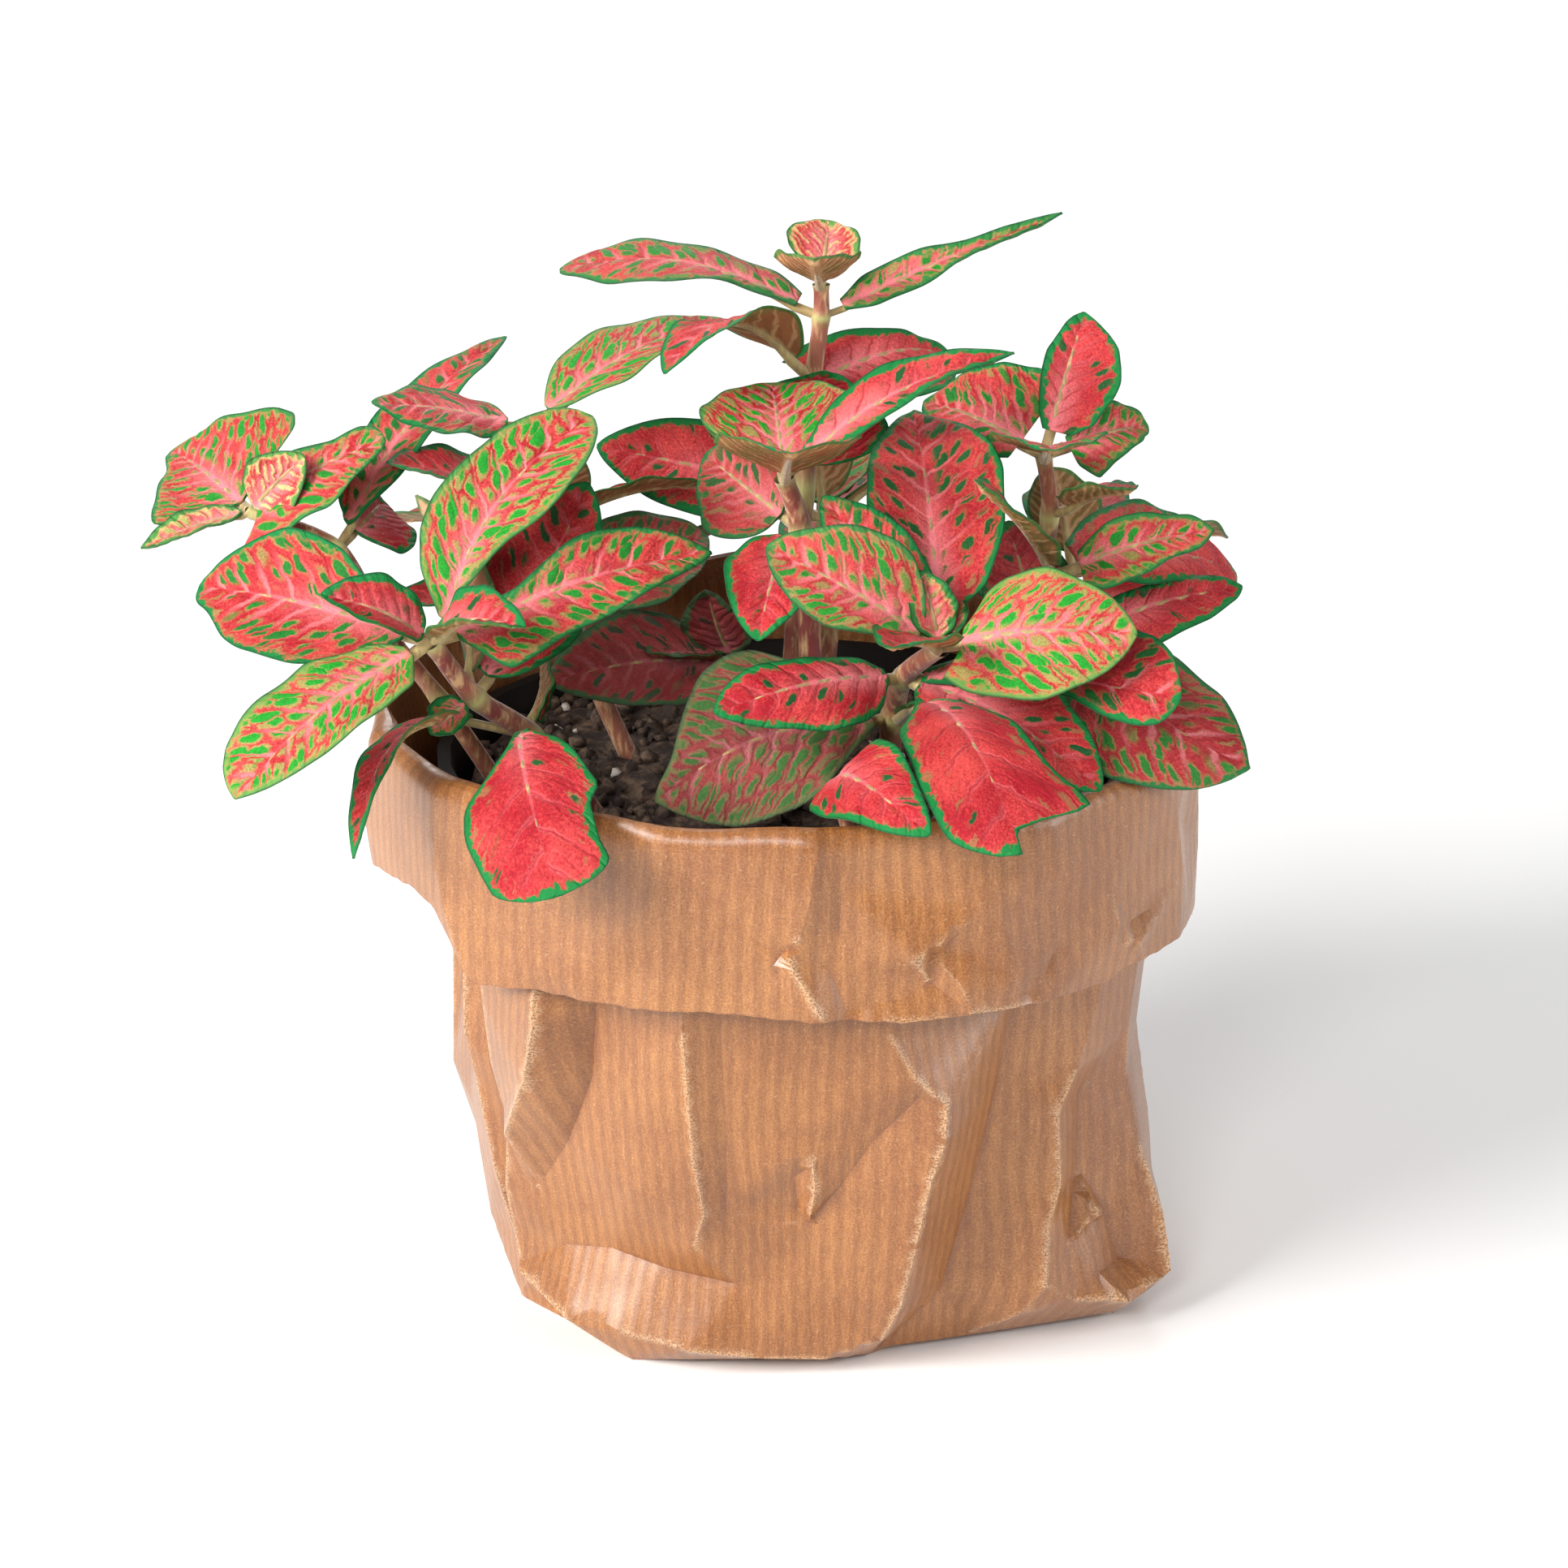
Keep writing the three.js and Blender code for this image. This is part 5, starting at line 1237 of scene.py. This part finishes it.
def fine_net(lines, s_line, low, high, spacing=1.25):
    """Points (s, z) between two edges given at `s_line`, with the triangles that join them round the bag."""
    count, end = len(s_line), AROUND / 2

    def inside(s, z, gap=0.0):
        return (z > np.interp(s, s_line, low) + gap) & (z < np.interp(s, s_line, high) - gap)

    def loose(points):
        return (p for p in points if abs(p[0]) < end - 0.4 and inside(*p, 0.4))

    seam = np.arange(max(low[0], 0) + spacing, high[0] - 0.6 * spacing, spacing)
    left = [(-end, z) for z in seam]
    right = [(end, low[0]), (end, high[0])] + [(end, z) for z in seam]
    fixed = list(zip(s_line, low)) + list(zip(s_line, high)) + left + right
    ends, along = [n[:2] for line in lines for n in line], []
    for line in lines:
        for (s0, z0, _), (s1, z1, _) in zip(line, line[1:]):
            steps = max(1, round(math.hypot(s1 - s0, z1 - z0) / 0.62))
            along.extend((s0 + (s1 - s0) * k / steps, z0 + (z1 - z0) * k / steps) for k in range(1, steps))
    between = [
        (s + (row % 2) * spacing / 2, z)
        for row, z in enumerate(np.arange(min(low), max(high), spacing * 0.87))
        for s in np.arange(-end, end, spacing)
    ]
    where = spread([(fixed, 0.0), (loose(ends), 0.3), (loose(along), 0.4), (loose(between), 0.62)])
    first_right = 2 * count + len(left)
    rim = [(k, k + 1) for row in (0, count) for k in range(row, row + count - 1)]
    rim += [(count - 1, first_right), (2 * count - 1, first_right + 1)]
    found = delaunay_2d_cdt([Vector(p) for p in where], rim, [], 0, 1e-4)
    origin = np.array([o[0] if o else -1 for o in found[3]])
    triangles = origin[np.array([f for f in found[2] if len(f) == 3])]
    where = np.array(where)
    corners = where[triangles]
    turn = cross2(corners[:, 1] - corners[:, 0], corners[:, 2] - corners[:, 0])
    triangles[turn < 0] = triangles[turn < 0][:, ::-1]
    good = (triangles.min(1) >= 0) & (np.abs(turn) > 1e-5) & inside(*corners.mean(1).T)
    # The right edge of the sheet is the same as its left edge, once it is round the bag.
    same, kept = np.arange(len(where)), np.ones(len(where), bool)
    same[first_right : first_right + len(right)] = [0, count, *range(2 * count, first_right)]
    kept[first_right : first_right + len(right)] = False
    return where[kept], (np.cumsum(kept) - 1)[same[triangles[good]]]


print("fine net ready")

# %% [markdown]
# The wall and the cuff are two such nets, crumpled one after the other. The heights of their folds were drawn
# small, and are made deeper here.

# %% wall and cuff
COLUMNS = 340
WALL_DEPTH, CUFF_DEPTH = 2.0, 1.6


def deeper(lines, times):
    return [[(s, z, height * times) for s, z, height in line] for line in lines]


draw = np.random.default_rng(11)
s_line = -AROUND / 2 + np.arange(COLUMNS) * AROUND / COLUMNS
in_front = smooth(-66, -58, s_line) * (1 - smooth(56, 64, s_line))
edge_z = CUFF_EDGE + ring(CUFF_RISE, s_line)
edge_z = edge_z * (1 - in_front) + np.interp(s_line, *zip(*EDGE_POINTS)) * in_front
edge_z = edge_z + 0.12 * np.sin(s_line * 1.7) * np.sin(s_line * 0.37 + 1)
top_line = np.full(COLUMNS, TOP)
wall_at, wall_faces = fine_net(WALL_LINES, s_line, np.zeros(COLUMNS), top_line)
wall, wall_crease = crumpled(deeper(WALL_LINES, WALL_DEPTH), 11.0, 0.45, 0.0, TOP + 1, wall_shape, wall_at, draw)
cuff_at, cuff_faces = fine_net(CUFF_LINES, s_line, edge_z, top_line)
cuff, cuff_crease = crumpled(deeper(CUFF_LINES, CUFF_DEPTH), 12.0, 0.4, 44.0, TOP + 3, cuff_shape, cuff_at, draw)
print("wall:", len(wall), "points, cuff:", len(cuff), "points")

# %% [markdown]
# The whole sheet is then laid out: the base, the wall up to the rim, a half turn over the rim, and the cuff down to
# its cut edge.

# %% sheet
TURN_STEPS = 9
FOOT_SHARES = (0.02, 0.3, 0.6, 0.85, 0.97)
wall_low, wall_top, cuff_edge, cuff_top = (part[k : k + COLUMNS] for part in (wall, cuff) for k in (0, COLUMNS))
bend = np.linspace(0, math.pi, TURN_STEPS + 2)[1:-1, None, None]
middle, reach = (wall_top + cuff_top) / 2, (cuff_top - wall_top) / 2
rim_z = RIM + ring(RIM_RISE, s_line) + 0.25 * np.sin(s_line / 6.0) + 0.2 * np.sin(s_line / 2.7 + 2)
over = middle - reach * np.cos(bend) + np.array([0, 0, 1.0]) * ((rim_z - TOP)[:, None] * np.sin(bend) ** 0.8)
foot = np.stack([wall_low * (k, k, 0) for k in FOOT_SHARES])
sheet = np.concatenate([foot.reshape(-1, 3), wall, over.reshape(-1, 3), cuff])

row = np.arange(COLUMNS)
wall_start = foot.size // 3
over_start = wall_start + len(wall)
cuff_start = over_start + over.size // 3
foot_rows = [row + k * COLUMNS for k in range(len(FOOT_SHARES) + 1)]
over_rows = [row + over_start + k * COLUMNS for k in range(TURN_STEPS)]
over_rows = [row + wall_start + COLUMNS] + over_rows + [row + cuff_start + COLUMNS]
strips = [pair for rows in (foot_rows, over_rows) for pair in zip(rows, rows[1:])]
quads = np.concatenate([np.stack([a, np.roll(a, -1), np.roll(b, -1), b], 1) for a, b in strips])
faces = np.concatenate([halved(quads), wall_faces + wall_start, cuff_faces[:, ::-1] + cuff_start])
print("sheet:", len(sheet), "points,", len(faces), "triangles")

# %% [markdown]
# The sheet is doubled for the paper's thickness and closed at its cut edge and in the middle of the base. Its points
# keep how far round and how far along the paper they are, how creased they are and how far from the cut edge, all
# for the paper's finish below.

# %% bag mesh
SHEET = 0.36
FOOT_RUN, WALL_RUN, CUFF_RUN, OVER_STEP = 38.0, 39.0, 45 + 2 * TOP, 0.6
UNCUT = 9.0
normal = np.zeros_like(sheet)
slope = np.cross(sheet[faces[:, 1]] - sheet[faces[:, 0]], sheet[faces[:, 2]] - sheet[faces[:, 0]])
for k in range(3):
    np.add.at(normal, faces[:, k], slope)
normal = unit(normal)
normal[: 2 * COLUMNS] = (0, 0, -1)
sheet[:, 2] = np.maximum(sheet[:, 2], 0) + SHEET / 2
outer, inner = sheet + normal * SHEET / 2, sheet - normal * SHEET / 2
outer[:, 2] = np.maximum(outer[:, 2], 0)
total, edge, hub = len(sheet), row + cuff_start, np.roll(row, -1)
closing = [np.stack([a, b, b + total, a + total], 1) for a, b in ((edge, np.roll(edge, -1)), (hub, row))]
bag_faces = np.concatenate([faces, faces[:, ::-1] + total, halved(np.concatenate(closing))])


def twice(foot, wall, over, cuff):
    """One number for each point of the sheet, for both of its sides."""
    foot, over = np.full((len(FOOT_SHARES), COLUMNS), foot), np.full((TURN_STEPS, COLUMNS), over)
    return np.tile(np.concatenate([foot.ravel(), wall, over.ravel(), cuff]), 2)


foot_run = np.array(FOOT_SHARES)[:, None] * FOOT_RUN
over_run = WALL_RUN + TOP + np.arange(TURN_STEPS)[:, None] * OVER_STEP
# Creases fade out where the cuff turns over the rim.
cuff_crease = cuff_crease * np.clip((TOP - 4 - cuff_at[:, 1]) / 6, 0, 1)
bag_attributes = {
    "round": twice(s_line, wall_at[:, 0], s_line, cuff_at[:, 0]),
    "run": twice(foot_run, WALL_RUN + wall_at[:, 1], over_run, CUFF_RUN - cuff_at[:, 1]),
    "crease": twice(0.0, wall_crease, 0.0, cuff_crease),
    "cut": twice(UNCUT, UNCUT + 0 * wall_crease, UNCUT, cuff_at[:, 1] - np.interp(cuff_at[:, 0], s_line, edge_z)),
}
print("bag:", len(bag_faces), "triangles")

# %% [markdown]
# ## The paper's finish
# Kraft paper is made of long brown fibres, and this one is pressed into fine upright ribs about two millimetres
# apart. It has a slight glaze, so its facets shine when they turn to the light. Where it is folded outwards
# the glaze is worn to a pale line, and where it is folded inwards a dark line of painted shade stands for the
# shadow in the fold.

# %% paper fibre
RIB_PITCH = 1.9


def ribbed_fibre(t, given):
    place = t.vector(given["Round"], given["Run"])
    shifted = t.math("MULTIPLY_ADD", t.noise(place, 0.05, 1.0), 2.2, given["Round"])
    stretched = t.vector(t.times(given["Round"], 2.6), t.times(given["Run"], 0.42))
    return {
        "Rib": t.math("SINE", t.times(shifted, 2 * math.pi / RIB_PITCH)),
        "Fibre": t.noise(stretched, 1.0, 4.0, 0.65),
        "Fleck": t.noise(place, 1.9, 4.0, 0.75),
        "Cloud": t.noise(place, 0.05, 3.0, 0.55),
        "Grain": t.noise(place, 4.4, 2.0, 0.7),
    }


RIBBED = group("ribbed_fibre", {"Round": 0.0, "Run": 0.0}, ("Rib", "Fibre", "Fleck", "Cloud", "Grain"), ribbed_fibre)
print("ribbed fibre:", len(RIBBED.nodes), "nodes")

# %% [markdown]
# The colours lie in layers over a plain brown: fibres and clouds, the shade between the ribs, pale and dark flecks,
# the worn ridges, and painted shade in the valleys and along the cut edge. A thin clear coat over all of them
# stands for the glaze.

# %% paper material
PAPER, PAPER_LIGHT, PAPER_DEEP = ink(157, 99, 49), ink(178, 123, 71), ink(116, 67, 33)
# The dark colour serves both the real dark flecks and the painted shade in valleys and along the cut edge.
PAPER_WORN, PAPER_FLECK_AND_SHADE = ink(240, 212, 172), ink(128, 78, 48)


def paper_material():
    made, t, shader = material("kraft_paper")
    fibre = use(t, RIBBED, Round=t.value("round"), Run=t.value("run"))
    crease = t.value("crease")
    tone = t.plus(t.times(fibre["Fibre"], 0.5), t.times(fibre["Cloud"], 0.5))
    colour = t.layers(
        PAPER_DEEP,
        (t.ramp(tone, 0.36, 0.64), PAPER_LIGHT),
        (0.5, PAPER),
        (t.ramp(fibre["Rib"], -0.6, 0.9, 0.0, 0.36), PAPER_DEEP),
        (t.ramp(fibre["Fleck"], 0.54, 0.8, 0.0, 0.3), PAPER_WORN),
        (t.ramp(fibre["Fleck"], 0.46, 0.25, 0.0, 0.4), PAPER_FLECK_AND_SHADE),
        (t.times(t.ramp(crease, 0.25, 0.9, 0.0, 0.34), t.ramp(fibre["Grain"], 0.35, 0.6)), PAPER_WORN),
        # Painted shade: the valleys of the folds are darkened where shadow falls in them.
        (t.ramp(crease, -0.15, -0.7, 0.0, 0.5), PAPER_FLECK_AND_SHADE),
        # Painted shade: a dark line along the cuff's cut edge, where the edge throws its shadow.
        (t.ramp(t.value("cut"), 0.3, 0.0, 0.0, 0.25), PAPER_FLECK_AND_SHADE),
    )
    colour = t.mix(1.0, colour, t.ramp(fibre["Grain"], 0.34, 0.66, 0.72, 1.2), "MULTIPLY")
    height = t.math("MULTIPLY_ADD", fibre["Rib"], 0.35, t.times(fibre["Fibre"], 0.5))
    height = t.math("MULTIPLY_ADD", fibre["Fleck"], 0.5, height)
    t.set(
        shader,
        Base_Color=colour,
        Roughness=t.ramp(fibre["Fleck"], 0.3, 0.7, 0.3, 0.48),
        Specular_IOR_Level=0.55,
        Coat_Weight=0.4,
        Coat_Roughness=0.26,
        Normal=t.bump(height, 0.35, 0.00018),
    )
    return made


KRAFT = paper_material()
bag_body = (np.concatenate([outer, inner]), bag_faces, bag_attributes)
bag = mesh_piece("kraft_bag", bag_body, KRAFT, "paper_bag")
bag.data.set_sharp_from_angle(angle=math.radians(21))
print("paper material:", len(KRAFT.node_tree.nodes), "nodes")

# %% [markdown]
# ## Floor, light and camera
# A plain pale floor and soft studio light: a broad lamp on the left in front, a weaker one on the right, a small
# one above and behind the camera, one beyond the plant for the floor, and pale surroundings. The camera looks down
# by twenty degrees from half a metre, as one looks at a pot on a table.

# %% stage
def staged(name, data):
    """Something that belongs to the picture and not to the object."""
    made = bpy.data.objects.new(name, data)
    bpy.context.scene.collection.objects.link(made)
    return made


def lamp(name, place, aim, size, power, colour=(1, 1, 1)):
    data = bpy.data.lights.new(name, "AREA")
    data.shape, data.size, data.energy, data.color = "DISK", size, power, colour
    made = staged(name, data)
    made.location = place
    made.rotation_euler = (Vector(aim) - Vector(place)).to_track_quat("-Z", "Y").to_euler()


floor_mesh = bpy.data.meshes.new("floor")
floor_mesh.from_pydata([(-3, -3, 0), (3, -3, 0), (3, 3, 0), (-3, 3, 0)], [], [(0, 1, 2, 3)])
floor_finish, t, shader = material("pale_floor")
t.set(shader, Base_Color=(0.9, 0.9, 0.9, 1.0), Roughness=0.7)
floor_mesh.materials.append(floor_finish)
floor = staged("floor", floor_mesh)

lamp("key", (-0.77, -0.52, 0.56), (0, 0, 0.05), 0.6, 18.0, (1.0, 0.985, 0.96))
lamp("fill", (0.95, -0.3, 0.35), (0, 0, 0.06), 0.5, 4.6)
lamp("high", (-0.2, -0.85, 0.55), (0, 0, 0.06), 0.24, 2.8)
lamp("far", (0, 1.3, 0.9), (0, 0.8, 0), 0.9, 10.0)
world = bpy.data.worlds.new("studio")
world.use_nodes = True
background = world.node_tree.nodes["Background"]
background.inputs["Color"].default_value = (1.0, 1.0, 1.0, 1.0)
background.inputs["Strength"].default_value = 0.28
bpy.context.scene.world = world

CAMERA_AWAY, CAMERA_AIM, CAMERA_TILT = 0.52, 0.061, math.radians(20)
camera_data = bpy.data.cameras.new("camera")
camera_data.lens, camera_data.sensor_width = 96.89, 36.0
camera = staged("camera", camera_data)
camera.location = (0, -CAMERA_AWAY * math.cos(CAMERA_TILT), CAMERA_AIM + CAMERA_AWAY * math.sin(CAMERA_TILT))
camera.rotation_euler = (math.pi / 2 - CAMERA_TILT, 0, 0)
bpy.context.scene.camera = camera
bpy.context.scene.view_settings.view_transform = "Standard"
print("camera", round(camera.location.length, 3), "m from the middle of the base")
